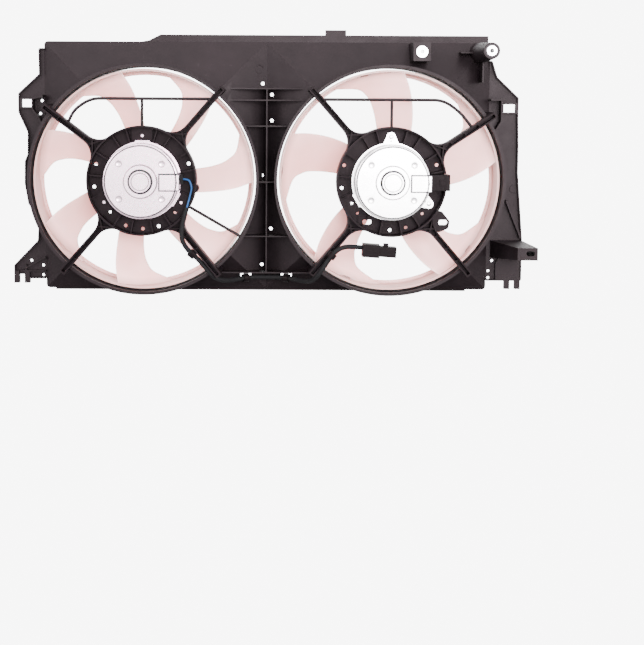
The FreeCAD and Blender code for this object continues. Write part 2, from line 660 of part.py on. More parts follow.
def right_wing():
    """Wing beside the five-blade fan: window, slanting rib, grid and fork at its foot."""
    edge = RIM_HALF_WIDTH
    outline = [(edge - 10, 183), (edge + 3, 183), (edge + 11, 158), (edge + 44.7, 126), (edge + 44.7, 94),
               (edge + 46, 49), (edge + 46, 10), (edge + RIGHT_WING_WIDTH, -95),
               (edge + RIGHT_WING_WIDTH, -160), (edge - 10, -160)]
    body = rimmed(outline)
    x0, x1, z0, z1 = RIGHT_WINDOW
    ribs = [bar((edge + 28.5, -33.6), (edge + 52, -92), 3.2, WING_FRONT, WING_FRONT + WING_EDGE + 3)]
    pocket = prism([(edge, 124), (edge + 18, 124), (edge + 18, 88), (edge + 2, 66), (edge, 66)],
                   WING_FRONT, WING_FRONT + POCKET_RISE)
    pocket = pocket.cut(prism([(edge - 1, 124 - WALL), (edge + 18 - WALL, 124 - WALL), (edge + 18 - WALL, 90),
                               (edge + 3, 70), (edge - 1, 68)], WING_BACK, THROUGH))
    pocket = pocket.cut(block(LUG_RIGHT - LUG_WIDTH - LUG_ROOT, LUG_RIGHT, WING_FRONT + WING_EDGE, THROUGH,
                              LUG_TOP - LUG_HEIGHT - LUG_FLARE, LUG_TOP))
    body = joined([body, window_frame(RIGHT_WINDOW, WING_FRONT + WING_EDGE), pocket] + ribs
                  + fork(RIGHT_FORK_X, RIGHT_FORK_BOTTOM))
    body = raised_foot(body)
    body = body.cut(block(x0, x1, -1, 30, z0, z1))
    body = body.cut(block(RIGHT_FORK_X - FORK_SLOT / 2, RIGHT_FORK_X + FORK_SLOT / 2, -1, 30,
                          RIGHT_FORK_BOTTOM - 1, RIGHT_FORK_BOTTOM + FORK_DEPTH))
    inner = LUG_RIGHT - LUG_WIDTH + WALL
    body = body.cut(block(inner, LUG_RIGHT - 6, -1, 30, LUG_TOP - LUG_HEIGHT + WALL, LUG_TOP - WALL))
    for x, z in ((edge + 9.5, -102.8), (edge + 9.5, -129), (edge + 4, -145), (edge + 4, -156)):
        body = body.cut(disc(x, z, SMALL_HOLE_R, -1, 30))
    return max(beside_rim(body).Solids, key=lambda solid: solid.Volume)


def raised_foot(body):
    """The right wing's foot, raised as a shallow box with a grid of ribs on the radiator's side."""
    edge = RIM_HALF_WIDTH
    under_lug = LUG_TOP - LUG_HEIGHT - LUG_FLARE - LUG_CLEARANCE
    outline = [(edge + 19, under_lug), (edge + 52, under_lug), (edge + 52, -159), (edge + 14, -159),
               (edge + 14, -132)]
    face = rounded_face(outline, CORNER_R, WING_FRONT)
    top = WING_FRONT + WING_EDGE
    hollow = face.makeOffset2D(-RIB_THICKNESS).extrude(V(0, WALL - WING_EDGE, 0))
    body = joined([body, face.extrude(V(0, -WING_EDGE, 0))]).cut(hollow)
    grid = []
    for step in range(GRID_COUNT):
        x = edge + 23 + GRID_PITCH * step
        z = -152 + GRID_PITCH * step
        grid.append(block(x - RIB_THICKNESS / 2, x + RIB_THICKNESS / 2, WING_FRONT, top - WALL, -160, -115))
        grid.append(block(edge + 14, edge + 52, WING_FRONT, top - WALL,
                          z - RIB_THICKNESS / 2, z + RIB_THICKNESS / 2))
    return joined([body] + [rib.common(hollow) for rib in grid])


def eye_lug():
    """Hollow arm behind the right wing with a slotted eye in its end wall."""
    right, left = LUG_RIGHT, LUG_RIGHT - LUG_WIDTH
    top, bottom = LUG_TOP, LUG_TOP - LUG_HEIGHT
    root_front = WING_FRONT + WING_EDGE
    root = rectangle(left - LUG_ROOT, right - LUG_OVERHANG, bottom - LUG_FLARE, top, root_front)
    end = rectangle(left, right, bottom, top, LUG_BACK)
    root_in = rectangle(left - LUG_ROOT + WALL, right - LUG_OVERHANG - WALL, bottom - LUG_FLARE + WALL,
                        top - WALL, root_front)
    end_in = rectangle(left + WALL, right - WALL, bottom + WALL, top - WALL, LUG_BACK - WALL)
    body = upright(Part.makeLoft([root, end], True, True))
    body = body.cut(upright(Part.makeLoft([root_in, end_in], True, True)))
    eye_x, eye_z = right - 4.6 - EYE_WIDTH / 2, top - 4.5 - EYE_HEIGHT / 2
    eye = block(eye_x - EYE_WIDTH / 2 + EYE_HEIGHT / 2, eye_x + EYE_WIDTH / 2 - EYE_HEIGHT / 2,
                LUG_BACK - 2 * WALL, LUG_BACK + 1, eye_z - EYE_HEIGHT / 2, eye_z + EYE_HEIGHT / 2)
    reach = EYE_WIDTH / 2 - EYE_HEIGHT / 2
    ends = [disc(eye_x + shift, eye_z, EYE_HEIGHT / 2, LUG_BACK - 2 * WALL, LUG_BACK + 1)
            for shift in (-reach, reach)]
    return body.cut(joined([eye] + ends))


def lug_foot():
    """Frame between the right wing and the lug, on the wing's plate."""
    left, right = LUG_RIGHT - LUG_WIDTH - LUG_ROOT, LUG_RIGHT - LUG_OVERHANG
    top, bottom = LUG_TOP, LUG_TOP - LUG_HEIGHT - LUG_FLARE
    ring = block(left, right - RIB_THICKNESS, WING_BACK, WING_FRONT + WING_EDGE, bottom, top)
    return ring.cut(block(left + WALL, right, 0, 30, bottom + WALL, top - WALL))


def ear_cover(x, angle):
    """Raised pad of the carrier over one ear of the motor, open on the motor's side."""
    top = PLATE_BACK + EAR_COVER_GAP + WALL
    outer = spoke_bar(x, angle, MOTOR_FLANGE_R + 1.5, CARRIER_R - OVERLAP, EAR_COVER_WIDTH,
                      PLATE_FRONT - OVERLAP, top)
    hollow = spoke_bar(x, angle, MOTOR_FLANGE_R - OVERLAP, SCREW_CIRCLE + EAR_R + WALL / 2,
                       EAR_COVER_WIDTH - 2 * WALL, PLATE_FRONT, top - WALL)
    return outer.cut(hollow).common(disc(x, 0, CARRIER_R, 0, THROUGH))


def carrier(side, slotted):
    """Dish that carries a motor: floor with mould holes, outer wall, ribs and pads over the ears."""
    x = side["x"]
    floor = tube(x, 0, CARRIER_R, CARRIER_BORE_R, CARRIER_FRONT, PLATE_FRONT)
    wall = tube(x, 0, CARRIER_R, CARRIER_R - CARRIER_WALL, CARRIER_FRONT, CARRIER_BACK)
    ribs = [spoke_bar(x, angle, MOTOR_FLANGE_R + 1.5, CARRIER_R - OVERLAP, RIB_THICKNESS,
                      PLATE_FRONT - OVERLAP, CARRIER_RIB_BACK) for angle in CARRIER_RIBS]
    bosses = [disc(*polar(x, SCREW_CIRCLE, angle), BOSS_R, CARRIER_FRONT - BOSS_HEIGHT, PLATE_FRONT)
              for angle in SCREW_ANGLES]
    covers = [ear_cover(x, angle) for angle in side["covered_ears"]]
    for angle in side["covered_ears"]:
        room = spoke_bar(x, angle, MOTOR_FLANGE_R, CARRIER_R - CARRIER_WALL - WALL,
                         EAR_COVER_WIDTH - 2 * WALL, PLATE_FRONT, CARRIER_BACK)
        ribs = [rib.cut(room) for rib in ribs]
    body = joined([floor, wall] + ribs + bosses + covers)
    if slotted:
        body = joined([body, slot_ear(side), slot_pad(x)])
        for pad_x in SLOT_PAD_X:
            body = body.cut(slot_cut(x + pad_x, SLOT_PAD_Z))
    else:
        boss = disc(*polar(x, CARRIER_R - WALL, WIRE_BOSS_ANGLE), WIRE_BOSS_R, CARRIER_FRONT,
                    CARRIER_RIB_BACK)
        body = joined([body, boss])
    for angle in CARRIER_HOLES + side["extra_holes"]:
        body = body.cut(disc(*polar(x, CARRIER_HOLE_CIRCLE, angle), MOULD_HOLE_R, 0, THROUGH))
    for angle in SMALL_HOLES:
        body = body.cut(disc(*polar(x, SMALL_HOLE_CIRCLE, angle), SMALL_HOLE_R, 0, THROUGH))
    for angle in SCREW_ANGLES:
        body = body.cut(disc(*polar(x, SCREW_CIRCLE, angle), SCREW_R, 0, THROUGH))
    if slotted:
        gap = block(x + MOTOR_R, x + CARRIER_R + WALL, PLATE_FRONT + OVERLAP, CARRIER_BACK + OVERLAP,
                    -SOCKET_NOTCH, SOCKET_NOTCH)
    else:
        gap = spoke_bar(x, LEAD_NOTCH_ANGLE, CARRIER_R - CARRIER_WALL - OVERLAP, CARRIER_R + WALL, LEAD_NOTCH,
                        CARRIER_RIB_BACK, CARRIER_BACK + OVERLAP)
    return body.cut(gap)


def slot_ear(side):
    """Ear outside the right carrier's wall that holds the outer slot."""
    x = side["x"]
    far = x + SLOT_PAD_X[1]
    face = rounded_face([(x + 60, -40), (far - 1, SLOT_PAD_Z + 16), (far + 10, SLOT_PAD_Z + 2),
                         (far + 8, SLOT_PAD_Z - 9), (far - 6, SLOT_PAD_Z - 15), (x + 50, -66)],
                        CORNER_R, CARRIER_FRONT)
    plate = face.extrude(V(0, -SLOT_PAD_THICKNESS, 0))
    return plate.cut(disc(x, 0, CARRIER_R - OVERLAP, 0, THROUGH)).cut(spoke_block(side, side["spokes"][3], 0))


def slot_pad(x):
    """Pad on the right carrier's floor that holds the inner slot."""
    near = x + SLOT_PAD_X[0]
    pad = block(near - 14, near + 12, PLATE_FRONT - OVERLAP, CARRIER_FRONT + SLOT_PAD_THICKNESS,
                SLOT_PAD_Z - 12, SLOT_PAD_Z + 10)
    pad = pad.common(disc(x, 0, CARRIER_R - OVERLAP, 0, THROUGH))
    return pad.cut(disc(x, 0, MOTOR_FLANGE_R + OVERLAP, 0, THROUGH))


def slot_cut(x, z):
    """Slot along X with round ends."""
    reach = (SLOT_LENGTH - SLOT_WIDTH) / 2
    middle = block(x - reach, x + reach, 0, 200, z - SLOT_WIDTH / 2, z + SLOT_WIDTH / 2)
    return joined([middle] + [disc(x + shift, z, SLOT_WIDTH / 2, 0, THROUGH) for shift in (-reach, reach)])


def spoke_face(x, angle, inset, end, depth):
    """Plan of a spoke whose sides run in arcs into the carrier's wall, drawn in by an inset."""
    turn = math.radians(angle)
    across = SPOKE_WIDTH / 2 + FLARE_R
    along = math.sqrt((CARRIER_R + FLARE_R) ** 2 - across ** 2)
    half = SPOKE_WIDTH / 2 - inset

    def at(point):
        return spot(x + point.x * math.cos(turn) - point.y * math.sin(turn), depth,
                    point.x * math.sin(turn) + point.y * math.cos(turn))

    sides = []
    for sign in (-1, 1):
        centre = V(along, sign * across, 0)
        to_edge = V(0, -sign, 0)
        to_wall = V(-along, -sign * across, 0).normalize()
        between = to_edge.add(to_wall).normalize()
        arc = [at(centre.add(V(way).multiply(FLARE_R + inset))) for way in (to_wall, between, to_edge)]
        root = at(V(to_wall).multiply(inset + OVERLAP - CARRIER_R + WALL))
        sides.append((root, arc, at(V(end, sign * half, 0))))
    (root, (wall, middle, edge), tip), (root_2, (wall_2, middle_2, edge_2), tip_2) = sides
    lines = [Part.LineSegment(root, wall), Part.Arc(wall, middle, edge), Part.LineSegment(edge, tip),
             Part.LineSegment(tip, tip_2), Part.LineSegment(tip_2, edge_2), Part.Arc(edge_2, middle_2, wall_2),
             Part.LineSegment(wall_2, root_2), Part.LineSegment(root_2, root)]
    return Part.Face(Part.Wire([line.toShape() for line in lines]))


def spoke_block(side, angle, inset):
    """Spoke's plan given its full depth."""
    face = spoke_face(side["x"], angle, inset, SPOKE_END_R, SPOKE_FRONT)
    return face.extrude(V(0, SPOKE_FRONT - SPOKE_BACK, 0))


def spoke_cross(x, angle):
    """Crossed webs in the hollow of a spoke's flared root."""
    bars = [bar(polar(x, CARRIER_R - OVERLAP, angle + turn),
                polar(x, CARRIER_R + CROSS_LENGTH, angle - turn / 4),
                RIB_THICKNESS, SPOKE_FRONT + OVERLAP, SPOKE_BACK - WALL)
            for turn in (-CROSS_ANGLE, CROSS_ANGLE)]
    return bars[0].fuse(bars[1])


def spoke(side, angle):
    """Channel-shaped spoke from the carrier to a foot on the panel outside the barrel."""
    x = side["x"]
    beam = spoke_block(side, angle, 0)
    channel = spoke_face(x, angle, RIB_THICKNESS, SPOKE_END_R - RIB_THICKNESS, SPOKE_FRONT + WALL)
    channel = channel.extrude(V(0, SPOKE_FRONT - SPOKE_BACK, 0))
    first_web = CARRIER_R + SPOKE_WEB_PITCH
    count = int((SPOKE_END_R - first_web) / SPOKE_WEB_PITCH)
    webs = [spoke_bar(x, angle, radius, radius + RIB_THICKNESS, SPOKE_WIDTH - OVERLAP, SPOKE_FRONT + OVERLAP,
                      SPOKE_BACK - 2 * WALL) for radius in (first_web + SPOKE_WEB_PITCH * step for step in range(count))]
    post = spoke_bar(x, angle, BARREL_OUT_R, SPOKE_END_R, SPOKE_WIDTH, RIM_DEPTH, SPOKE_FRONT + OVERLAP)
    foot = above_roof(post)
    body = joined([beam.cut(channel), spoke_cross(x, angle).common(beam)] + webs + [foot])
    body = body.cut(disc(x, 0, CARRIER_R, 0, THROUGH))
    bead = disc(x, 0, BARREL_OUT_R + BEAD_WIDTH, 0, BARREL_BACK)
    return max(body.cut(bead).Solids, key=lambda solid: solid.Volume)


def rod(points, radius):
    """Round rod along straight runs joined by tangent arcs."""
    path, radii = run_path(points)
    start = points[0]
    along = points[1].sub(points[0])
    section = Part.Wire(Part.makeCircle(radius, start, along))
    return Part.Wire(path).makePipeShell([section], True, False), radii


def run_path(points):
    """Edges of straight runs and arcs through a route, and the arcs' radii."""
    edges = []
    radii = []
    last = points[0]
    for before, here, after in zip(points, points[1:], points[2:]):
        back = before.sub(here)
        ahead = after.sub(here)
        half = back.getAngle(ahead) / 2
        cut = 0.45 * min(back.Length, ahead.Length)
        radius = cut * math.tan(half)
        start = here.add(V(back).normalize().multiply(cut))
        end = here.add(V(ahead).normalize().multiply(cut))
        inward = V(back).normalize().add(V(ahead).normalize()).normalize()
        middle = here.add(inward.multiply(cut / math.cos(half) - radius))
        edges.append(Part.LineSegment(last, start).toShape())
        edges.append(Part.Arc(start, middle, end).toShape())
        radii.append(radius)
        last = end
    edges.append(Part.LineSegment(last, points[-1]).toShape())
    return edges, radii


def guard_rods(side, sign):
    """Cross rod above the carrier with its bent end, the upright to it, and the stay."""
    x = side["x"]
    outer = sign
    inner_spoke, outer_spoke = (131.0, 33.3) if sign > 0 else (49.0, 143.0)
    at = GUARD_Z / math.tan(math.radians(inner_spoke))
    start = spot(x + at + sign * 2.0, GUARD_DEPTH, GUARD_Z)
    bend = spot(x + outer * 76.0, GUARD_DEPTH, GUARD_Z)
    knee = spot(x + outer * 101.0, GUARD_DEPTH, GUARD_Z - 17)
    foot_x, foot_z = polar(x, 139.0 if sign < 0 else 145.0, outer_spoke)
    cross, _ = rod([start, bend, knee, spot(foot_x, GUARD_DEPTH, foot_z)], GUARD_R)
    upright_rod = Part.makeCylinder(GUARD_POST_R, GUARD_Z - CARRIER_R + OVERLAP,
                                    spot(x, GUARD_DEPTH, CARRIER_R - OVERLAP), V(0, 0, 1))
    pieces = [Part.makeSolid(cross).fuse(upright_rod)]
    if sign < 0:
        stay_start, stay_end = polar(x, CARRIER_R - 1, -30), polar(x, BARREL_R + 1, -30)
        along = V(stay_end[0] - stay_start[0], 0, stay_end[1] - stay_start[1])
        stay = Part.makeCylinder(GUARD_R, along.Length, spot(stay_start[0], BARREL_BACK - 3, stay_start[1]),
                                 along)
        pieces.append(stay)
    trimmed = []
    for piece in pieces:
        piece = piece.cut(disc(x, 0, CARRIER_R, 0, THROUGH))
        piece = piece.cut(tube(x, 0, BARREL_R + 30, BARREL_R, 0, BARREL_BACK))
        for angle in side["spokes"]:
            room = spoke_bar(x, angle, CARRIER_R, SPOKE_END_R, SPOKE_WIDTH, SPOKE_FRONT, SPOKE_BACK)
            piece = piece.cut(room)
        trimmed.append(max(piece.Solids, key=lambda solid: solid.Volume))
    return group(trimmed)


def blade(side, start_angle):
    """One swept, twisted and cambered blade between the hub and the band."""
    x = side["x"]
    steps = 5

    def grid(face_sign):
        rows = []
        for share, trailing, leading in side["rows"]:
            radius = HUB_R + (BAND_R - HUB_R) * share
            front = BLADE_FRONT_HUB + (BLADE_FRONT_TIP - BLADE_FRONT_HUB) * share
            row = []
            for step in range(steps):
                u = step / (steps - 1)
                angle = start_angle + trailing + (leading - trailing) * u
                swell = math.sin(math.pi * u)
                depth = BLADE_BACK + (front - BLADE_BACK) * u - BLADE_CAMBER * swell
                half = (BLADE_EDGE_THICKNESS + (BLADE_THICKNESS - BLADE_EDGE_THICKNESS) * swell) / 2
                px, pz = polar(x, radius, angle)
                row.append(spot(px, depth + face_sign * half, pz))
            rows.append(row)
        surface = Part.BSplineSurface()
        surface.interpolate(rows)
        return surface

    upper, lower = grid(-1), grid(1)
    faces = [upper.toShape(), lower.toShape()]
    u0, u1, v0, v1 = upper.bounds()
    for pick in (lambda s: s.uIso(u0), lambda s: s.uIso(u1), lambda s: s.vIso(v0), lambda s: s.vIso(v1)):
        faces.append(Part.makeRuledSurface(pick(upper).toShape(), pick(lower).toShape()))
    shell = Part.makeShell(faces)
    shell.sewShape()
    solid = upright(Part.makeSolid(shell))
    span = tube(x, 0, BAND_IN_R, HUB_R, 0, 100)
    trimmed = solid.common(span).cut(band(side))
    return max(trimmed.Solids, key=lambda piece: piece.Volume)


def blades(side):
    pitch = 360.0 / side["blades"]
    return group(blade(side, side["first_edge"] + pitch * index) for index in range(side["blades"]))


def band(side):
    """Band round the blade tips with its rounded lip at the front."""
    inner_lip = BAND_R - BAND_LIP
    lip_back = BAND_FRONT + BAND_WALL
    profile = [(inner_lip, BAND_FRONT + BAND_EDGE_R), bend(inner_lip + BAND_EDGE_R, BAND_FRONT + BAND_EDGE_R,
                                                          BAND_EDGE_R, 180, 270),
               (BAND_R - BAND_WALL, BAND_FRONT), bend(BAND_R - BAND_WALL, lip_back, BAND_WALL, -90, 0),
               (BAND_R, BAND_BACK), (BAND_IN_R, BAND_BACK), (BAND_IN_R, lip_back + BAND_WALL),
               bend(BAND_IN_R - BAND_WALL, lip_back + BAND_WALL, BAND_WALL, 0, -90),
               (inner_lip, lip_back)]
    return turned(side["x"], profile)


def hub(side):
    """Cup that holds the blades: dished front with pairs of holes, boss on the shaft, ribs inside."""
    x = side["x"]
    inside = HUB_R - HUB_WALL
    floor = HUB_FRONT + HUB_DISH_DEPTH + HUB_WALL
    bore = SHAFT_R + PRESS_FIT
    edge = HUB_FRONT + HUB_CROWN
    profile = [(bore, HUB_FRONT + HUB_DISH_DEPTH), (HUB_DISH_R - 2, HUB_FRONT + HUB_DISH_DEPTH),
               (HUB_DISH_R, HUB_FRONT), (HUB_STEP_R, HUB_FRONT), (HUB_STEP_R + HUB_STEP, HUB_FRONT + HUB_STEP),
               (HUB_R - HUB_ROUND, edge), bend(HUB_R - HUB_ROUND, edge + HUB_ROUND, HUB_ROUND, -90, 0),
               (HUB_R, HUB_BACK), (inside, HUB_BACK), (inside, floor + HUB_WALL),
               bend(inside - HUB_WALL, floor + HUB_WALL, HUB_WALL, 0, -90),
               (HUB_BOSS_R, floor), (HUB_BOSS_R, HUB_BOSS_BACK), (bore, HUB_BOSS_BACK)]
    ribs = [spoke_bar(x, 360.0 / HUB_RIBS * index + 11, HUB_BOSS_R - OVERLAP, inside + OVERLAP / 2, RIB_THICKNESS,
                      floor - OVERLAP, HUB_BOSS_BACK - HUB_RIB_DROP) for index in range(HUB_RIBS)]
    body = joined([turned(x, profile)] + ribs)
    shift = math.degrees(HUB_HOLE_SHIFT / HUB_HOLE_CIRCLE)
    for angle in side["hub_holes"]:
        for sign in (-1, 1):
            hole_at = polar(x, HUB_HOLE_CIRCLE, angle + sign * shift)
            body = body.cut(disc(*hole_at, HUB_HOLE_R, 0, floor + OVERLAP))
    return body


def fan_nut(side):
    """Flanged nut that clamps the hub on the shaft."""
    x = side["x"]
    flange = disc(x, 0, NUT_FLANGE_R, HUB_FRONT - 1.0, HUB_FRONT + HUB_DISH_DEPTH)
    corners = [polar(x, NUT_R, 60 * index) for index in range(6)]
    nut = prism(corners, NUT_FRONT, HUB_FRONT - 1.0)
    return flange.fuse(nut).cut(disc(x, 0, SHAFT_R + PRESS_FIT, 0, 40))


def shaft(side):
    back = BEARING_CAP_BACK - CAN_WALL - 1
    return disc(side["x"], 0, SHAFT_R, SHAFT_FRONT, back)


def armature(side):
    """Slotted core with the windings' ends on both faces."""
    x = side["x"]
    core = disc(x, 0, ARMATURE_R, CORE_FRONT, CORE_BACK)
    for index in range(SLOT_COUNT):
        turn = 360 / SLOT_COUNT * index
        core = core.cut(spoke_bar(x, turn, WINDING_R + 1, ARMATURE_R + 2, 3.0, 0, THROUGH))
    winding = turned(x, [(SHAFT_R + 6, CORE_FRONT - WINDING_OVERHANG), (WINDING_R - 3, CORE_FRONT - WINDING_OVERHANG),
                         (WINDING_R, CORE_FRONT), (WINDING_R, CORE_BACK), (WINDING_R - 3, COMMUTATOR_FRONT),
                         (SHAFT_R + 6, COMMUTATOR_FRONT)])
    return joined([core, winding]).cut(disc(x, 0, SHAFT_R + PRESS_FIT, 0, THROUGH))


def commutator(side):
    x = side["x"]
    return tube(x, 0, COMMUTATOR_R, SHAFT_R + PRESS_FIT, COMMUTATOR_FRONT, COMMUTATOR_BACK)


def magnets(side):
    """Arc magnets on the inside of the can."""
    x = side["x"]
    ring = tube(x, 0, CAN_IN_R, CAN_IN_R - MAGNET_THICKNESS, CORE_FRONT - 1, CORE_BACK + 1)
    pieces = []
    for index in range(MAGNET_COUNT):
        middle = 45 + 360 / MAGNET_COUNT * index
        wedge = [(x, 0)] + [polar(x, 2 * CAN_IN_R, middle + MAGNET_ARC / 2 * side_sign)
                            for side_sign in (-1, 1)]
        pieces.append(ring.common(prism(wedge, 0, THROUGH)))
    return group(pieces)


def brush_plate(side):
    """Insulating ring behind the armature that guides the brushes."""
    x = side["x"]
    front = COMMUTATOR_FRONT + 2
    plate = tube(x, 0, CAN_IN_R, COMMUTATOR_R + 3, front + 1.5, front + 3.5)
    for sign in (-1, 1):
        guide = block(x + sign * 30 - 9, x + sign * 30 + 9, front - 1.5, front + 1.5, -6, 6)
        plate = plate.fuse(guide)
    passage = block(x - 60, x + 60, 0, front + 1.5, -BRUSH_WIDTH / 2 - 0.1, BRUSH_WIDTH / 2 + 0.1)
    return plate.cut(passage)


def brushes(side):
    x = side["x"]
    front = COMMUTATOR_FRONT + 0.7
    start = COMMUTATOR_R + PIECE_GAP
    return group(block(x + (start if sign > 0 else -start - BRUSH_LENGTH),
                       x + (start + BRUSH_LENGTH if sign > 0 else -start),
                       front, front + 2.8, -BRUSH_WIDTH / 2, BRUSH_WIDTH / 2) for sign in (-1, 1))


def bearings(side):
    """Front and rear bearing, each shown as one closed ring."""
    x = side["x"]
    return group(tube(x, 0, BEARING_R, SHAFT_R + FIT, front, front + BEARING_WIDTH)
                 for front in (FRONT_BEARING_FRONT, REAR_BEARING_FRONT))


def ear(x, angle, d0, d1):
    """Tab that reaches from the motor's edge out to a screw."""
    start = MOTOR_FLANGE_R - EAR_R
    root = [polar(x, start, angle - EAR_SPREAD), polar(x, start, angle + EAR_SPREAD)]
    hole = polar(x, SCREW_CIRCLE, angle)
    turn = math.radians(angle)
    side = (-math.sin(turn) * EAR_R, math.cos(turn) * EAR_R)
    tip = [(hole[0] + side[0], hole[1] + side[1]), (hole[0] - side[0], hole[1] - side[1])]
    body = prism(root + tip, d0, d1).fuse(disc(*hole, EAR_R, d0, d1))
    screw_hole = disc(*hole, EAR_HOLE_R, 0, THROUGH)
    pin_hole = disc(*polar(x, EAR_PIN_CIRCLE, angle), EAR_PIN_R, 0, THROUGH)
    return body.cut(screw_hole).cut(pin_hole)


def end_plate(side):
    """Front plate of the motor with three ears and the front bearing's housing."""
    x = side["x"]
    disc_part = disc(x, 0, MOTOR_FLANGE_R, PLATE_FRONT, PLATE_BACK)
    housing = turned(x, [(SHAFT_R + 2, FRONT_BOSS_FRONT), (FRONT_BOSS_R, FRONT_BOSS_FRONT), (FRONT_BOSS_R, PLATE_BACK),
                         (SHAFT_R + 2, PLATE_BACK)])
    ears = [ear(x, angle, PLATE_FRONT, PLATE_BACK) for angle in SCREW_ANGLES]
    body = joined([disc_part, housing] + ears)
    body = body.cut(disc(x, 0, SHAFT_R + 2, 0, THROUGH))
    seat = disc(x, 0, BEARING_R, FRONT_BEARING_FRONT, PLATE_BACK + 1)
    return body.cut(seat)


def can(side):
    """Drawn motor housing with its flange, stepped and rounded back, four dimples and the bearing's cap."""
    x = side["x"]
    flange_back = PLATE_BACK + CAN_FLANGE
    inside_back = MOTOR_BACK - CAN_WALL
    shoulder = MOTOR_BACK - CAN_STEP - CAN_ROUND
    inner_round = CAN_ROUND - CAN_WALL / 2
    profile = [(MOTOR_FLANGE_R, PLATE_BACK), (MOTOR_FLANGE_R, flange_back), (MOTOR_R, flange_back),
               (MOTOR_R, shoulder), bend(MOTOR_R - CAN_ROUND, shoulder, CAN_ROUND, 0, 90),
               (CAN_STEP_R, MOTOR_BACK - CAN_STEP), (CAN_STEP_R - CAN_STEP, MOTOR_BACK),
               (CAP_STEP_R + CAP_ROUND, MOTOR_BACK), (CAP_STEP_R, CAP_STEP_BACK),
               (BEARING_CAP_R + CAP_ROUND, CAP_STEP_BACK), (BEARING_CAP_R, CAP_STEP_BACK + CAP_ROUND),
               (BEARING_CAP_R, BEARING_CAP_BACK - CAP_ROUND),
               bend(BEARING_CAP_R - CAP_ROUND, BEARING_CAP_BACK - CAP_ROUND, CAP_ROUND, 0, 90),
               (CAP_DISH_R + CAP_DISH, BEARING_CAP_BACK), (CAP_DISH_R, BEARING_CAP_BACK - CAP_DISH),
               (0, BEARING_CAP_BACK - CAP_DISH), (0, BEARING_CAP_BACK - CAN_WALL),
               (BEARING_R, BEARING_CAP_BACK - CAN_WALL), (BEARING_R, inside_back), (CAN_IN_R - inner_round, inside_back),
               (CAN_IN_R, inside_back - inner_round), (CAN_IN_R, PLATE_BACK)]
    body = turned(x, profile)
    ball = (DIMPLE_R ** 2 + DIMPLE_DEPTH ** 2) / (2 * DIMPLE_DEPTH)
    for across in (-DIMPLE_X, DIMPLE_X):
        for up in (-DIMPLE_Z, DIMPLE_Z):
            body = body.cut(Part.makeSphere(ball, spot(x + across, MOTOR_BACK + ball - DIMPLE_DEPTH, up)))
    return body


def terminal_cover(side):
    """Raised plate over the motor's connections, with a flap over the housing's edge."""
    x = side["x"]
    low, high = COVER_Z
    right = x + MOTOR_R + COVER_THICKNESS
    corners = [(x + COVER_START, low), (right, low), (right, high), (x + COVER_START, high)]
    plate = rounded_face(corners, CORNER_R / 2, MOTOR_BACK).extrude(V(0, -COVER_THICKNESS, 0))
    flap = block(x + MOTOR_R, right, MOTOR_BACK - COVER_FLAP, MOTOR_BACK + OVERLAP,
                 low + CORNER_R, high - CORNER_R)
    hole = disc(x + COVER_HOLE_X, 0, EAR_PIN_R, MOTOR_BACK, THROUGH)
    return joined([plate, flap]).cut(hole)


def screws(side):
    """Three screws from the fan's side through the carrier's bosses into the ears."""
    x = side["x"]
    front = CARRIER_FRONT - BOSS_HEIGHT
    pieces = []
    for angle in SCREW_ANGLES:
        px, pz = polar(x, SCREW_CIRCLE, angle)
        end = PLATE_BACK if angle in side["covered_ears"] else PLATE_BACK + SCREW_END
        shank = disc(px, pz, SCREW_R, front, end)
        head = disc(px, pz, SCREW_HEAD_R, front - SCREW_HEAD, front)
        pieces.append(shank.fuse(head))
    return group(pieces)


def motor_socket():
    """Plug socket moulded on the right motor's side, with its collar and latch ramp."""
    x = RIGHT["x"]
    front, back = PLATE_FRONT + SOCKET_LIFT, MOTOR_BACK - 2 * WALL
    mouth = x + SOCKET_REACH
    body = block(x + MOTOR_R - 4, mouth, front, back, -SOCKET_HALF, SOCKET_HALF)
    collar = block(mouth - SOCKET_COLLAR, mouth, front - OVERLAP, back + OVERLAP, -SOCKET_HALF - OVERLAP / 2,
                   SOCKET_HALF + OVERLAP / 2)
    hollow = block(mouth - SOCKET_DEPTH, mouth + OVERLAP, front + SOCKET_WALL, back - SOCKET_WALL,
                   -SOCKET_HALF + SOCKET_WALL, SOCKET_HALF - SOCKET_WALL)
    ramp = block(mouth - SOCKET_DEPTH, mouth - SOCKET_COLLAR, back, back + WALL, -4, 4)
    body = joined([body, collar, ramp]).cut(disc(x, 0, MOTOR_R, 0, THROUGH)).cut(hollow)
    pins = [block(mouth - SOCKET_DEPTH - WALL, mouth - 2 * WALL, front + 9, front + 10.5, z - 2, z + 2)
            for z in (-4, 4)]
    return joined([body] + pins)


def wire_grommet():
    """Rubber grommet in the left can where the wires leave."""
    x = LEFT["x"]
    body = block(x + MOTOR_R - 1, x + MOTOR_R + 6, PLATE_BACK + 5, PLATE_BACK + 17, -4, 10)
    return body.cut(disc(x, 0, MOTOR_R, 0, THROUGH))


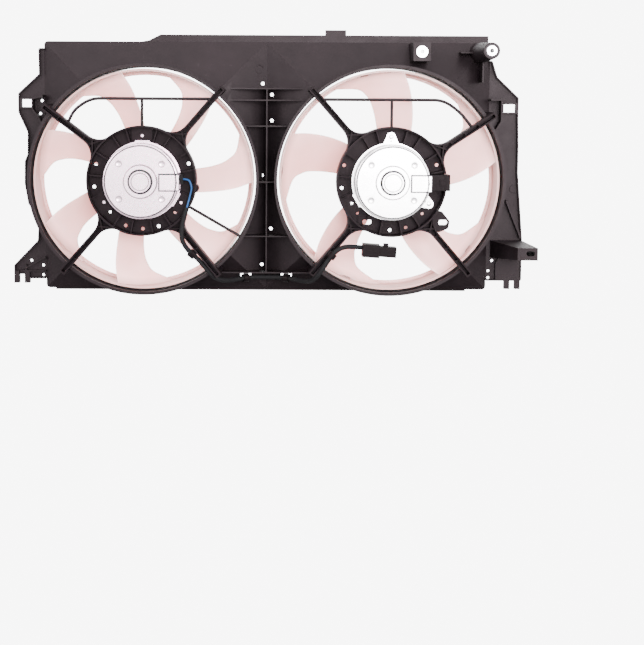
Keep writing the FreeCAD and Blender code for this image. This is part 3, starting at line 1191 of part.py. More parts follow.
# Route of the lead: along the lower left spoke side, over the barrel, down to
# the clips in the valley, and up beside the right fan's spoke to the connector.
LEAD_ROUTE = [(-118.0, 91.5, -39.5), (-122.5, 93.5, -56.0), (-126.0, 93.5, -73.0), (-125.0, 93.0, -89.5),
              (-116.0, 87.0, -104.6), (-105.0, 82.5, -114.5), (-96.0, 81.5, -124.5), (-87.0, 81.5, -135.0),
              (-78.5, 79.0, -145.5), (-67.0, 68.0, -152.0), (-55.0, 54.0, -154.5), (-42.0, 41.0, -154.0),
              (-21.0, 30.0, -153.0), (0.0, 28.0, -153.5), (21.0, 30.0, -153.0), (42.0, 41.0, -154.0),
              (55.0, 55.0, -154.5), (66.5, 72.0, -152.5), (74.5, 86.5, -144.5), (82.5, 93.0, -132.5),
              (92.0, 92.8, -117.0), (103.5, 92.2, -102.8), (115.5, 91.4, -96.6), (129.5, 87.5, -97.0),
              (143.7, 86.5, -98.0)]
WIRE_ROUTE = [(-123.5, 89.0, 3.0), (-114.5, 89.0, 2.0), (-110.5, 89.2, -9.5), (-114.05, 89.74, -25.0),
              (-118.0, 91.5, -39.5)]


def lead():
    """Sleeved lead along its route, as straight runs joined by tangent arcs."""
    route = [spot(*point) for point in LEAD_ROUTE]
    body, radii = rod(route, LEAD_R)
    solid = upright(Part.makeSolid(body))
    length = sum(edge.Length for edge in run_path(route)[0])
    ratio = solid.Volume / (math.pi * LEAD_R ** 2 * length)
    print("lead length", round(length, 1), "volume ratio", round(ratio, 4))
    print("lead radii", [round(radius, 1) for radius in radii])
    return solid


def wires(sleeve):
    """Two insulated wires from the left motor's grommet to the sleeve."""
    pieces = []
    for shift in (-1.4, 1.4):
        body, _ = rod([spot(x, depth + shift, z) for x, depth, z in WIRE_ROUTE], WIRE_R)
        pieces.append(upright(Part.makeSolid(body)).cut(sleeve).cut(wire_grommet()))
    return group(pieces)


def clip(run, foot_depth):
    """Band clip round the middle of one run of the lead, with a foot down to a depth."""
    a, b = spot(*LEAD_ROUTE[run]), spot(*LEAD_ROUTE[run + 1])
    unit = b.sub(a).normalize()
    middle = a.add(b).multiply(0.5)
    ring = Part.makeCylinder(CLIP_R, CLIP_WIDTH, middle.sub(V(unit).multiply(CLIP_WIDTH / 2)), unit)
    foot = block(middle.x - CLIP_FOOT / 2, middle.x + CLIP_FOOT / 2, foot_depth, -middle.y,
                 middle.z - CLIP_FOOT / 2, middle.z + CLIP_FOOT / 2)
    core_start = middle.sub(V(unit).multiply(2 * CLIP_WIDTH))
    core = Part.makeCylinder(LEAD_R + CLIP_BORE_GAP, 4 * CLIP_WIDTH, core_start, unit)
    return ring.fuse(foot).cut(core)


def lead_clips(sleeve):
    """Clips on the left spoke, in the two panel holes and on the right spoke."""
    on_left = clip(4, SPOKE_BACK - 10).cut(spoke(LEFT, LEFT["spokes"][3]))
    on_right = clip(20, SPOKE_BACK - 4).cut(spoke(RIGHT, RIGHT["spokes"][2]))
    in_panel = [clip(run, RIM_DEPTH + 2) for run in (11, 14)]
    pieces = [piece.cut(sleeve) for piece in [on_left, on_right] + in_panel]
    return group([max(piece.Solids, key=lambda solid: solid.Volume) for piece in pieces])


def connector_block(x0, x1, depth_half, z0, z1):
    """Block measured from the lead's end, tilted with the connector."""
    x, depth, z = LEAD_ROUTE[-1]
    body = block(x + x0, x + x1, depth - depth_half, depth + depth_half, z + z0, z + z1)
    body.rotate(spot(x, depth, z), V(0, 1, 0), -CONNECTOR_TILT)
    return body


def connector_back():
    """Wire-side half of the connector."""
    length, height, thickness = CONNECTOR_BACK_SIZE
    return connector_block(0, length, thickness / 2, CONNECTOR_TOP - height, CONNECTOR_TOP)


def connector_front():
    """Mating half of the connector, open at its mouth, with the latch bump."""
    start = CONNECTOR_BACK_SIZE[0]
    length, height, thickness = CONNECTOR_FRONT_SIZE
    top = CONNECTOR_TOP - 2.0
    body = connector_block(start, start + length, thickness / 2, top - height, top)
    bump = connector_block(start + 6, start + 13, 4, top - 0.5, top + 4.5)
    mouth = connector_block(start + 8, start + length + 1, thickness / 2 - WALL, top - height + 2, top - 2)
    return body.fuse(bump).cut(mouth)


def main():
    os.makedirs("parts", exist_ok=True)
    save("shroud_panel", panel())
    save("top_flange", top_flange())
    save("bolt_tower", tower())
    save("tower_grommet", tower_grommet())
    save("tower_sleeve", tower_sleeve())
    save("bush_pocket", bush_pocket())
    save("pocket_bush", pocket_bush())
    save("left_wing", left_wing())
    save("left_foot", left_foot())
    save("right_wing", right_wing())
    save("eye_lug", joined([eye_lug(), lug_foot()]))
    for name, side, sign in (("left", LEFT, -1), ("right", RIGHT, 1)):
        save(name + "_barrel", barrel(side))
        save(name + "_carrier", carrier(side, sign > 0))
        save(name + "_spokes", group(spoke(side, angle) for angle in side["spokes"]))
        save(name + "_guard_rods", guard_rods(side, sign))
        save(name + "_motor_can", can(side))
        save(name + "_motor_plate", end_plate(side))
        save(name + "_terminal_cover", terminal_cover(side))
        save(name + "_motor_screws", screws(side))
        save(name + "_magnets", magnets(side))
        save(name + "_brush_plate", brush_plate(side))
        save(name + "_brushes", brushes(side))
        save(name + "_bearings", bearings(side))
        save(name + "_armature", armature(side))
        save(name + "_commutator", commutator(side))
        save(name + "_shaft", shaft(side))
        save(name + "_fan_hub", hub(side))
        save(name + "_fan_blades", blades(side))
        save(name + "_fan_band", band(side))
        save(name + "_fan_nut", fan_nut(side))
    save("right_motor_socket", motor_socket())
    save("wire_grommet", wire_grommet())
    sleeve = lead()
    save("motor_wires", wires(sleeve))
    save("lead_sleeve", sleeve)
    save("lead_clips", lead_clips(sleeve))
    save("connector_back", connector_back())
    save("connector_front", connector_front())


main()
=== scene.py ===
import json
import math
import bmesh
import bpy
import numpy as np
from mathutils import Matrix, Vector
from mathutils.bvhtree import BVHTree


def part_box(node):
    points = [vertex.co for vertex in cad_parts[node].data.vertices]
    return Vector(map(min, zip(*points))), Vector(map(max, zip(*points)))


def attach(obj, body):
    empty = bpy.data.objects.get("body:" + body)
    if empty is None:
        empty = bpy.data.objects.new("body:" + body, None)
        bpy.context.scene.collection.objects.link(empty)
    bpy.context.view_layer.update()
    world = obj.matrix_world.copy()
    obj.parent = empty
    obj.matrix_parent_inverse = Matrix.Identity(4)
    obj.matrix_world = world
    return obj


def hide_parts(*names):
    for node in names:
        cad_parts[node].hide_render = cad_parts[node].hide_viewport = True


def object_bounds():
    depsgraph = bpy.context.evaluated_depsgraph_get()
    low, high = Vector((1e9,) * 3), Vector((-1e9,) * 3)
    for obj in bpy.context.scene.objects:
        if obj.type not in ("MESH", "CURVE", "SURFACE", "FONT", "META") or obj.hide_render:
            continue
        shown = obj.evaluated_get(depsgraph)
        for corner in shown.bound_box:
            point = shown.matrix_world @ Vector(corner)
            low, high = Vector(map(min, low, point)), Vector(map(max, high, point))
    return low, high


# The looks of a twin electric radiator fan. Lengths are in metres unless a
# name ends in _MM. +X points right and +Z up for someone who looks at the
# motor side, which faces -Y. Depths are counted from the radiator face, so
# depth d lies at Y = -d.

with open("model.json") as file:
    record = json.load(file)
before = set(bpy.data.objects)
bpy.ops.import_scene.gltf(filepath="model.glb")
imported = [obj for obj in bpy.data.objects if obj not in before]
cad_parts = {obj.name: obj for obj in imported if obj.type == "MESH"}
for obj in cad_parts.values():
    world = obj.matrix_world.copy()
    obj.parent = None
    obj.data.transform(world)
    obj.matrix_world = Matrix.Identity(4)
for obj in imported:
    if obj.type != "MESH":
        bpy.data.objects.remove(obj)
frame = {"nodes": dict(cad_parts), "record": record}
cad_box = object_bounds()
MM = 0.001

# Camera, fitted to the round edges of the barrels and motors in the photograph
CAMERA_AT = Vector((0.0, -1.6, 0.117))
CAMERA_AIM = Vector((0.0, 0.0, 0.0))
CAMERA_LENS_MM = 57.06
CAMERA_SHIFT = (0.086, -0.2253)
CAMERA_ROLL = math.radians(0.3)

# Sizes that the pieces made here share with the frame
FAN_X = (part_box("right_shaft")[0].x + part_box("right_shaft")[1].x) / 2
HUB_R = (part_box("right_fan_hub")[1].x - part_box("right_fan_hub")[0].x) / 2
BAND_R = (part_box("right_fan_band")[1].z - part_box("right_fan_band")[0].z) / 2
FLOOR_Z = cad_box[0][2]

# Fan blades: a row is a share of the span and the offsets of the trailing and
# the leading edge in degrees; depths run from the leading to the trailing edge
BLADE_THICKNESS = 2.6 * MM
BLADE_EDGE = 1.4 * MM
BLADE_CAMBER = 3.5 * MM
BLADE_FRONT_HUB = 23.0 * MM
BLADE_FRONT_TIP = 30.0 * MM
BLADE_BACK = 58.0 * MM
BLADE_SPAN = (-0.004, 0.985)
BLADE_ROWS = 36
BLADE_COLUMNS = 20
BLADE_NOSE = 14
LEFT_BLADE = {"count": 7, "first": 86.0, "axis": -FAN_X,
              "rows": ((-0.05, -1.5, 30.0), (0.21, 3.3, 27.6), (0.44, 7.2, 27.7), (0.66, 10.3, 30.3),
                       (0.80, 12.5, 34.3), (0.87, 13.8, 38.9), (0.94, 15.0, 43.0), (1.01, 16.0, 46.0))}
RIGHT_BLADE = {"count": 5, "first": 63.3, "axis": FAN_X,
               "rows": ((-0.05, -1.5, 40.0), (0.21, 3.5, 38.6), (0.44, 8.0, 38.7), (0.66, 12.5, 41.0),
                        (0.80, 15.4, 46.0), (0.87, 17.0, 52.5), (0.94, 18.6, 58.0), (1.01, 20.0, 62.0))}

# Motor screws, with their heads on the fan's side. The dome and one turn of the thread are
# rows of a share of the radius and a depth
SCREW_COUNT = 3
SCREW_SEGMENTS = 24
SCREW_CIRCLE = 66.6 * MM
SCREW_FIRST = 90.0
SCREW_HEAD_R = 4.6 * MM
SCREW_HEAD = 2.5 * MM
SCREW_R = 2.45 * MM
SCREW_PITCH = 0.9 * MM
SCREW_DOME = ((0.45, 0.15 * MM), (0.8, 0.6 * MM), (1.0, 1.4 * MM))
SCREW_THREAD = ((1.0, 0.15 * MM), (0.86, 0.45 * MM), (1.0, 0.75 * MM))
SCREW_TIP = 0.8

# Tape wound on the lead, and the round marks that moulds leave
TAPE_LAP = 8.5 * MM
TAPE_RIDGE = 0.28 * MM
TAPE_SEGMENTS = 28
TAPE_EDGE_SEGMENTS = 6
MARK_R = 6.5 * MM
MARK_RIDGE = 0.35 * MM
MARK_TOP = 0.2 * MM
MARK_FOOT = 0.5 * MM
MARK_SEGMENTS = 48
MARK_PLACES = ((-12.0 * MM, 168.0 * MM, "shroud_panel"), (386.0 * MM, -16.0 * MM, "right_wing"))

# Lead of the left motor: its route in millimetres as X, depth and Z
LEAD_DIAMETER = 7.0 * MM
LEAD_ROUTE_MM = [
    (-118.0, 91.5, -39.5), (-122.5, 93.5, -56.0), (-126.0, 93.5, -73.0), (-125.0, 93.0, -89.5),
    (-116.0, 87.0, -104.6), (-105.0, 82.5, -114.5), (-96.0, 81.5, -124.5), (-87.0, 81.5, -135.0),
    (-78.5, 79.0, -145.5), (-67.0, 68.0, -152.0), (-55.0, 54.0, -154.5), (-42.0, 41.0, -154.0),
    (-21.0, 30.0, -153.0), (0.0, 28.0, -153.5), (21.0, 30.0, -153.0), (42.0, 41.0, -154.0),
    (55.0, 55.0, -154.5), (66.5, 72.0, -152.5), (74.5, 86.5, -144.5), (82.5, 93.0, -132.5),
    (92.0, 92.8, -117.0), (103.5, 92.2, -102.8), (115.5, 91.4, -96.6), (129.5, 87.5, -97.0),
    (143.7, 86.5, -98.0)]
LEAD_ROUND_STEPS = 6
LEAD_SPAN_STEPS = 10

# Wall of a fan's band, and the width of the painted shade inside it
BAND_WALL = 3.0 * MM
BAND_SHADE_WIDTH = 14.0 * MM

# Painted shade in the grooves of the motors: radius, half width and strength, where more than 1 is
# evenly dark in the middle; then the painted shade round the dimples, the painted shadow along the covers'
# edges and the painted shade in the covers' holes
ZINC_GROOVES = ((52.6 * MM, 1.5 * MM, 1.6), (24.4 * MM, 1.4 * MM, 1.0), (17.0 * MM, 2.1 * MM, 1.9),
                (12.8 * MM, 1.3 * MM, 0.9))
COVER_LINE = 1.6 * MM
COVER_STRENGTH = 1.7
COVER_HOLE_X = 53.0 * MM
COVER_HOLE_Z = -1.3 * MM
COVER_HOLE_R = 1.9 * MM
COVER_HOLE_CORE = 0.6
DIMPLE_X = 31.5 * MM
DIMPLE_Z = 26.0 * MM
DIMPLE_R = 4.2 * MM
DIMPLE_LINE = 1.5 * MM
DIMPLE_STRENGTH = 0.8

# White stage, its glow as the camera sees it, and what it reflects
FLOOR_START = -3.5
FLOOR_END = 0.9
SWEEP_R = 0.6
SWEEP_STEPS = 12
WALL_TOP = 3.5
STAGE_HALF_WIDTH = 4.0
STAGE_GLOW = 8.0
STAGE_SHADE = 0.40

# Room, darker below than above, and its soft panels: name, place, size and watts
WORLD_LOW = 1.2
WORLD_HIGH = 1.9
WORLD_FADE = (-0.3, 0.7)
LIGHTS = (("right_panel", (0.55, -2.3, 0.35), (1.4, 1.2), 165.0),
          ("left_panel", (-0.95, -2.3, 0.45), (1.3, 1.5), 30.0),
          ("far_right_panel", (1.9, -1.5, 0.7), (1.2, 1.2), 75.0),
          ("far_left_panel", (-1.9, -1.5, 0.7), (1.2, 1.2), 75.0),
          ("top_panel", (0.0, -0.5, 2.3), (2.4, 1.2), 100.0),
          ("behind_right_panel", (0.85, 1.1, 1.15), (1.0, 0.8), 40.0),
          ("behind_left_panel", (-0.85, 1.1, 1.15), (1.0, 0.8), 40.0))

# Nodes that are modelled anew here, and nodes given a duller moulding as painted shade
MODELLED_HERE = ("lead_sleeve", "left_fan_blades", "right_fan_blades", "left_motor_screws",
                 "right_motor_screws")
SHADED_NODES = ("left_carrier", "right_carrier", "left_spokes", "right_spokes")

# Edges sharper than a limit stay crisp; points nearer than the merge are one
SMOOTH_LIMIT = math.radians(33)
BLADE_SMOOTH = math.radians(50)
TAPE_SMOOTH = math.radians(80)
STAGE_SMOOTH = math.radians(60)
MERGE = 1e-6


def place_camera():
    """Camera at the photograph's viewing angle."""
    data = bpy.data.cameras.new("photo_camera")
    data.lens = CAMERA_LENS_MM
    data.shift_x, data.shift_y = CAMERA_SHIFT
    data.clip_end = 50
    camera = bpy.data.objects.new("photo_camera", data)
    aim = (CAMERA_AIM - CAMERA_AT).to_track_quat("-Z", "Y").to_matrix()
    turned_aim = aim @ Matrix.Rotation(CAMERA_ROLL, 3, "Z")
    camera.matrix_world = Matrix.Translation(CAMERA_AT) @ turned_aim.to_4x4()
    bpy.context.scene.collection.objects.link(camera)
    bpy.context.scene.camera = camera


class Value:
    """A socket of a node tree; sums and products of values add Math nodes."""

    def __init__(self, graph, socket):
        self.graph = graph
        self.socket = socket

    def math(self, operation, *others):
        values = dict(enumerate((self,) + others))
        return self.graph.node("ShaderNodeMath", {"operation": operation}, values)

    def __add__(self, other):
        return self.math("ADD", other)

    __radd__ = __add__

    def __mul__(self, other):
        return self.math("MULTIPLY", other)

    def __sub__(self, other):
        return self.math("SUBTRACT", other)

    def __rsub__(self, other):
        return self.graph.node("ShaderNodeMath", {"operation": "SUBTRACT"}, {0: other, 1: self})

    def __truediv__(self, other):
        return self.math("DIVIDE", other)

    def __pow__(self, other):
        return self.math("POWER", other)

    def sine(self):
        return self.math("SINE")

    def size(self):
        return self.math("ABSOLUTE")

    def clamped(self, low, high):
        """The value mapped from low..high to 0..1."""
        return self.graph.node("ShaderNodeMapRange", {"clamp": True}, {
            "Value": self, "From Min": low, "From Max": high})


class Graph:
    """A node tree under construction."""

    def __init__(self, tree):
        self.tree = tree
        tree.nodes.clear()

    def node(self, kind, settings=None, values=None, out=0):
        made = self.tree.nodes.new(kind)
        for name, setting in (settings or {}).items():
            setattr(made, name, setting)
        for name, value in (values or {}).items():
            socket = made.inputs[name]
            if isinstance(value, Value):
                self.tree.links.new(value.socket, socket)
            else:
                socket.default_value = value
        return Value(self, made.outputs[out]) if made.outputs else None

    def noise(self, scale, detail=2.0, roughness=0.5, place=None):
        place = place or self.place()
        return self.node("ShaderNodeTexNoise", {}, {"Vector": place, "Scale": scale, "Detail": detail,
                                                    "Roughness": roughness})

    def place(self):
        return self.node("ShaderNodeTexCoord", {}, {}, "Object")

    def axis(self, name, place):
        return self.node("ShaderNodeSeparateXYZ", {}, {"Vector": place}, name)

    def mix(self, factor, first, second):
        """Colour between two colours."""
        return self.node("ShaderNodeMix", {"data_type": "RGBA"}, {"Factor": factor, 6: first, 7: second}, 2)

    def bump(self, height, strength, distance, under=None):
        values = {"Height": height, "Strength": strength, "Distance": distance}
        if under:
            values["Normal"] = under
        return self.node("ShaderNodeBump", {}, values)


def rgb(red, green, blue):
    return (red, green, blue, 1.0)


def finish(name, build):
    """Material whose Principled shader takes the inputs that a build function returns."""
    material = bpy.data.materials.new(name)
    material.use_nodes = True
    graph = Graph(material.node_tree)
    surface = graph.node("ShaderNodeBsdfPrincipled", {}, build(graph))
    graph.node("ShaderNodeOutputMaterial", {}, {"Surface": surface})
    return material


def motor_radius(graph):
    """Distance from the nearer fan axis, on either side."""
    place = graph.place()
    across = graph.axis("X", place).size() - FAN_X
    up = graph.axis("Z", place)
    return (across * across + up * up) ** 0.5


def dimple_distance(graph, place):
    """Distance from the edge of the nearest of a motor's four dimples."""
    across = (graph.axis("X", place).size() - FAN_X).size() - DIMPLE_X
    up = graph.axis("Z", place).size() - DIMPLE_Z
    return ((across * across + up * up) ** 0.5 - DIMPLE_R).size()


def outline_distance(graph, place, node):
    """Distance from the outline of a node's box, seen from the motor side."""
    low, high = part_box(node)
    across = (graph.axis("X", place) - (low.x + high.x) / 2).size() - (high.x - low.x) / 2
    up = (graph.axis("Z", place) - (low.z + high.z) / 2).size() - (high.z - low.z) / 2
    return across.math("MAXIMUM", up).size()


def painted_hole_shade(graph, place, axis_x):
    """Painted shade of the hole in a motor's terminal cover: a dark disc with a soft edge."""
    across = graph.axis("X", place) - (axis_x + COVER_HOLE_X)
    up = graph.axis("Z", place) - COVER_HOLE_Z
    radius = (across * across + up * up) ** 0.5
    return 1.0 - radius.clamped(COVER_HOLE_R * COVER_HOLE_CORE, COVER_HOLE_R)


def painted_shade_line(distance, half_width, strength):
    """Painted shade as a dark line that fades over its half width."""
    return (1.0 - (distance / half_width).clamped(0.0, 1.0)) * strength


def motor_painted_shade(graph, place, radius):
    """How dark the painted shade makes a motor: round its dimples, in its grooves, as a painted shadow
    along its terminal cover's edge, and in the cover's hole.
    """
    painted_dark = painted_shade_line(dimple_distance(graph, place), DIMPLE_LINE, DIMPLE_STRENGTH)
    for groove_r, half_width, strength in ZINC_GROOVES:
        painted_dark = painted_dark + painted_shade_line((radius - groove_r).size(), half_width, strength)
    for cover in ("left_terminal_cover", "right_terminal_cover"):
        painted_dark = painted_dark + painted_shade_line(outline_distance(graph, place, cover), COVER_LINE, COVER_STRENGTH)
    for axis_x in (-FAN_X, FAN_X):
        painted_dark = painted_dark + painted_hole_shade(graph, place, axis_x)
    return painted_dark.clamped(0.0, 1.0)


def moulded_shroud(graph, index=1.22):
    """Dark glass-filled moulding with a fine grain, slow flow marks and a few pale scuffs."""
    flow = graph.noise(9.0, 3.0, 0.6)
    cloud = graph.noise(45.0, 4.0, 0.55)
    grain = graph.noise(1500.0, 2.0, 0.6)
    scuff = graph.noise(130.0, 5.0, 0.7).clamped(0.62, 0.78) * flow.clamped(0.5, 0.62)
    shade = flow.clamped(0.35, 0.65) * 0.6 + cloud.clamped(0.3, 0.7) * 0.4
    colour = graph.mix(shade, rgb(0.0034, 0.0021, 0.0026), rgb(0.0066, 0.0044, 0.0052))
    colour = graph.mix(scuff * 0.5, colour, rgb(0.035, 0.027, 0.030))
    rough = 0.40 + cloud.clamped(0.3, 0.7) * 0.12 + grain * 0.06
    return {"Base Color": colour, "Roughness": rough, "IOR": index,
            "Specular Tint": rgb(1.0, 0.86, 0.90),
            "Normal": graph.bump(grain, 0.22, 0.0002, graph.bump(cloud, 0.18, 0.0006))}


def shaded_shroud(graph):
    """The same moulding, duller, as painted shade in the carriers and spokes."""
    return moulded_shroud(graph, 1.15)


def milky_nylon(graph, pale, warm):
    """Natural nylon: milky, slightly uneven, with soft gloss, and painted shade near the band."""
    cloud = graph.noise(14.0, 3.0, 0.5)
    speckle = graph.noise(900.0, 2.0, 0.5)
    # Painted shade: the nylon darkens and browns towards the band
    band_shade = motor_radius(graph).clamped(BAND_R - BAND_SHADE_WIDTH, BAND_R - BAND_WALL)
    colour = graph.mix(cloud.clamped(0.35, 0.68), pale, warm)
    colour = graph.mix(band_shade * 0.85, colour, rgb(0.40, 0.22, 0.20))
    return {"Base Color": colour, "Roughness": 0.36 + cloud.clamped(0.3, 0.7) * 0.1 + speckle * 0.05,
            "IOR": 1.53, "Subsurface Weight": 0.35, "Subsurface Radius": (1.0, 0.6, 0.5),
            "Subsurface Scale": 0.006, "Normal": graph.bump(speckle, 0.1, 0.0001)}


def fan_nylon(graph):
    return milky_nylon(graph, rgb(0.86, 0.48, 0.46), rgb(0.77, 0.39, 0.37))


def cream_nylon(graph):
    return milky_nylon(graph, rgb(0.86, 0.62, 0.44), rgb(0.80, 0.54, 0.37))


def zinc_steel(graph):
    """Bright zinc plate with faint turning marks round the motor's axis, and a painted reflection that
    makes the left motor dimmer and pinker.
    """
    radius = motor_radius(graph)
    place = graph.place()
    rings = (radius * 5200.0 + graph.noise(60.0, 2.0, 0.5, place) * 14.0).sine()
    cloud = graph.noise(38.0, 4.0, 0.6)
    scuff = graph.noise(240.0, 3.0, 0.65)
    # Painted reflection: the left motor's zinc is given a dimmer, pinker colour than the right's
    on_left = graph.axis("X", place).clamped(0.05, -0.05)
    bright = graph.mix(on_left, rgb(0.95, 0.93, 0.94), rgb(0.82, 0.64, 0.73))
    dull = graph.mix(on_left, rgb(0.88, 0.84, 0.86), rgb(0.70, 0.53, 0.62))
    colour = graph.mix(cloud.clamped(0.3, 0.7), bright, dull)
    # Painted shade and shadow: near-black in the grooves, round the dimples, along the covers' edges and in
    # their holes
    colour = graph.mix(motor_painted_shade(graph, place, radius), colour, rgb(0.012, 0.010, 0.012))
    rough = 0.22 + cloud.clamped(0.3, 0.7) * 0.09 + scuff.clamped(0.45, 0.75) * 0.08 + rings * 0.02
    return {"Base Color": colour, "Roughness": rough, "Metallic": 1.0,
            "Normal": graph.bump(rings, 0.05, 0.00005, graph.bump(scuff, 0.08, 0.0001))}


def ground_steel(graph):
    """Ground steel with fine lines along depth."""
    fine = graph.noise(1100.0, 2.0, 0.5)
    return {"Base Color": graph.mix(fine.clamped(0.3, 0.7), rgb(0.52, 0.52, 0.54), rgb(0.66, 0.66, 0.68)),
            "Roughness": 0.26 + fine * 0.12, "Metallic": 1.0, "Normal": graph.bump(fine, 0.06, 0.00005)}


def dark_ceramic(graph):
    fine = graph.noise(700.0, 3.0, 0.6)
    return {"Base Color": graph.mix(fine, rgb(0.035, 0.035, 0.04), rgb(0.06, 0.06, 0.065)),
            "Roughness": 0.7 + fine * 0.1, "Normal": graph.bump(fine, 0.3, 0.0002)}


def copper(graph, bright, dull):
    fine = graph.noise(500.0, 3.0, 0.6)
    return {"Base Color": graph.mix(fine, bright, dull), "Roughness": 0.3 + fine * 0.2, "Metallic": 0.9,
            "Normal": graph.bump(fine, 0.2, 0.0002)}


def copper_winding(graph):
    return copper(graph, rgb(0.48, 0.18, 0.07), rgb(0.32, 0.11, 0.05))


def commutator_copper(graph):
    return copper(graph, rgb(0.72, 0.38, 0.22), rgb(0.6, 0.3, 0.17))


def carbon(graph):
    fine = graph.noise(1200.0, 2.0, 0.6)
    return {"Base Color": graph.mix(fine, rgb(0.02, 0.02, 0.02), rgb(0.045, 0.045, 0.045)),
            "Roughness": 0.6 + fine * 0.2, "Normal": graph.bump(fine, 0.3, 0.0001)}


def black_plastic(graph):
    fine = graph.noise(1400.0, 2.0, 0.6)
    cloud = graph.noise(80.0, 3.0, 0.5)
    return {"Base Color": graph.mix(cloud, rgb(0.0020, 0.0013, 0.0015), rgb(0.0042, 0.0029, 0.0033)),
            "Roughness": 0.34 + fine * 0.12, "IOR": 1.12,
            "Specular Tint": rgb(1.0, 0.86, 0.90),
            "Normal": graph.bump(fine, 0.15, 0.0001)}


def rubber(graph, dark, light):
    fine = graph.noise(900.0, 3.0, 0.6)
    return {"Base Color": graph.mix(fine, dark, light), "Roughness": 0.6 + fine * 0.2,
            "Specular IOR Level": 0.08, "Normal": graph.bump(fine, 0.2, 0.0002)}


def black_rubber(graph):
    return rubber(graph, rgb(0.0028, 0.0026, 0.003), rgb(0.006, 0.0055, 0.006))


def grey_rubber(graph):
    return rubber(graph, rgb(0.022, 0.019, 0.021), rgb(0.05, 0.045, 0.048))


def blue_wire(graph):
    fine = graph.noise(600.0, 2.0, 0.5)
    return {"Base Color": graph.mix(fine, rgb(0.003, 0.026, 0.085), rgb(0.006, 0.042, 0.125)),
            "Roughness": 0.3 + fine * 0.1, "IOR": 1.25, "Normal": graph.bump(fine, 0.08, 0.0001)}


FINISHES = {build.__name__: build for build in (
    fan_nylon, cream_nylon, zinc_steel, copper_winding, commutator_copper, carbon, black_plastic,
    black_rubber, grey_rubber, blue_wire)}
FINISHES.update({"shroud_plastic": moulded_shroud, "bearing_steel": ground_steel, "ferrite": dark_ceramic,
                 "shaded_shroud": shaded_shroud})


def make_finishes():
    return {slot: finish(slot, build) for slot, build in FINISHES.items()}


def body_of(node):
    for body, members in frame["record"]["behaviour"]["bodies"].items():
        if node in members:
            return body
    return "root"


def soften(mesh, limit=SMOOTH_LIMIT):
    """Smooth shading with the edges sharper than the limit kept crisp."""
    bm = bmesh.new()
    bm.from_mesh(mesh)
    for face in bm.faces:
        face.smooth = True
    for edge in bm.edges:
        edge.smooth = len(edge.link_faces) == 2 and edge.calc_face_angle(0.0) < limit
    bm.to_mesh(mesh)
    bm.free()


def add_piece(name, mesh, body, slot, materials, *nodes):
    """Shown piece that rides on a body and stands for CAD nodes."""
    piece = bpy.data.objects.new(name, mesh)
    bpy.context.scene.collection.objects.link(piece)
    mesh.materials.clear()
    mesh.materials.append(materials[slot])
    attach(piece, body)
    if nodes:
        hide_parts(*nodes)
    return piece


def dressed(node, slot, materials):
    """Merged, smoothly shaded copy of a CAD node in its place."""
    mesh = frame["nodes"][node].data.copy()
    bm = bmesh.new()
    bm.from_mesh(mesh)
    bmesh.ops.remove_doubles(bm, verts=bm.verts, dist=MERGE)
    bm.to_mesh(mesh)
    bm.free()
    mesh.materials.clear()
    soften(mesh)
    piece = add_piece(node + "_finished", mesh, body_of(node), slot, materials, node)
    # Carriers and spokes take the duller moulding, as painted shade
    if node in SHADED_NODES:
        piece.data.materials[0] = materials["shaded_shroud"]
    shading = piece.modifiers.new("even_shading", "WEIGHTED_NORMAL")
    shading.keep_sharp = True
    return piece


class Shape(Graph):
    """A Geometry Nodes tree whose named inputs are set on the modifier that runs it."""

    SOCKETS = {float: "NodeSocketFloat", int: "NodeSocketInt", bpy.types.Material: "NodeSocketMaterial"}

    def __init__(self, name, inputs):
        super().__init__(bpy.data.node_groups.new(name, "GeometryNodeTree"))
        sockets = self.tree.interface
        sockets.new_socket("Geometry", in_out="OUTPUT", socket_type="NodeSocketGeometry")
        sockets.new_socket("Geometry", in_out="INPUT", socket_type="NodeSocketGeometry")
        self.values = inputs
        self.places = {}
        for label, value in inputs.items():
            kind = self.SOCKETS[type(value)]
            self.places[label] = sockets.new_socket(label, in_out="INPUT", socket_type=kind).identifier
        self.entry = self.tree.nodes.new("NodeGroupInput")

    def input(self, label):
        return Value(self, self.entry.outputs[label])

    def end(self, instances):
        """Real geometry with its finish, as the tree's output."""
        real = self.node("GeometryNodeRealizeInstances", {}, {"Geometry": instances})
        finished = self.node("GeometryNodeSetMaterial", {}, {
            "Geometry": real, "Material": self.input("Finish")})
        self.node("NodeGroupOutput", {}, {"Geometry": finished})

    def made_from(self, data):
        """Plain mesh that the tree makes of a mesh or a curve."""
        source = bpy.data.objects.new(self.tree.name, data)
        bpy.context.scene.collection.objects.link(source)
        modifier = source.modifiers.new(self.tree.name, "NODES")
        modifier.node_group = self.tree
        for label, place in self.places.items():
            modifier[place] = self.values[label]
        context = bpy.context.evaluated_depsgraph_get()
        mesh = bpy.data.meshes.new_from_object(source.evaluated_get(context), depsgraph=context)
        source.modifiers.remove(modifier)
        bpy.data.objects.remove(source)
        return mesh


def copies_round_axis(mesh, name, axis_x, count, first, finish_material):
    """Copies of a mesh, modelled about the origin, turned evenly round a fan's axis."""
    shape = Shape(name, {"Count": count, "Axis X": float(axis_x), "First turn": float(first),
                         "Finish": finish_material})
    centre = shape.node("ShaderNodeCombineXYZ", {}, {"X": shape.input("Axis X")})
    points = shape.node("GeometryNodePoints", {}, {"Count": shape.input("Count"), "Position": centre})
    index = shape.node("GeometryNodeInputIndex")
    turn = index * (2 * math.pi) / shape.input("Count") + shape.input("First turn")
    spin = shape.node("ShaderNodeCombineXYZ", {}, {"Y": turn * -1.0})
    shape.end(shape.node("GeometryNodeInstanceOnPoints", {}, {
        "Points": points, "Instance": shape.input("Geometry"), "Rotation": spin}))
    return shape.made_from(mesh)


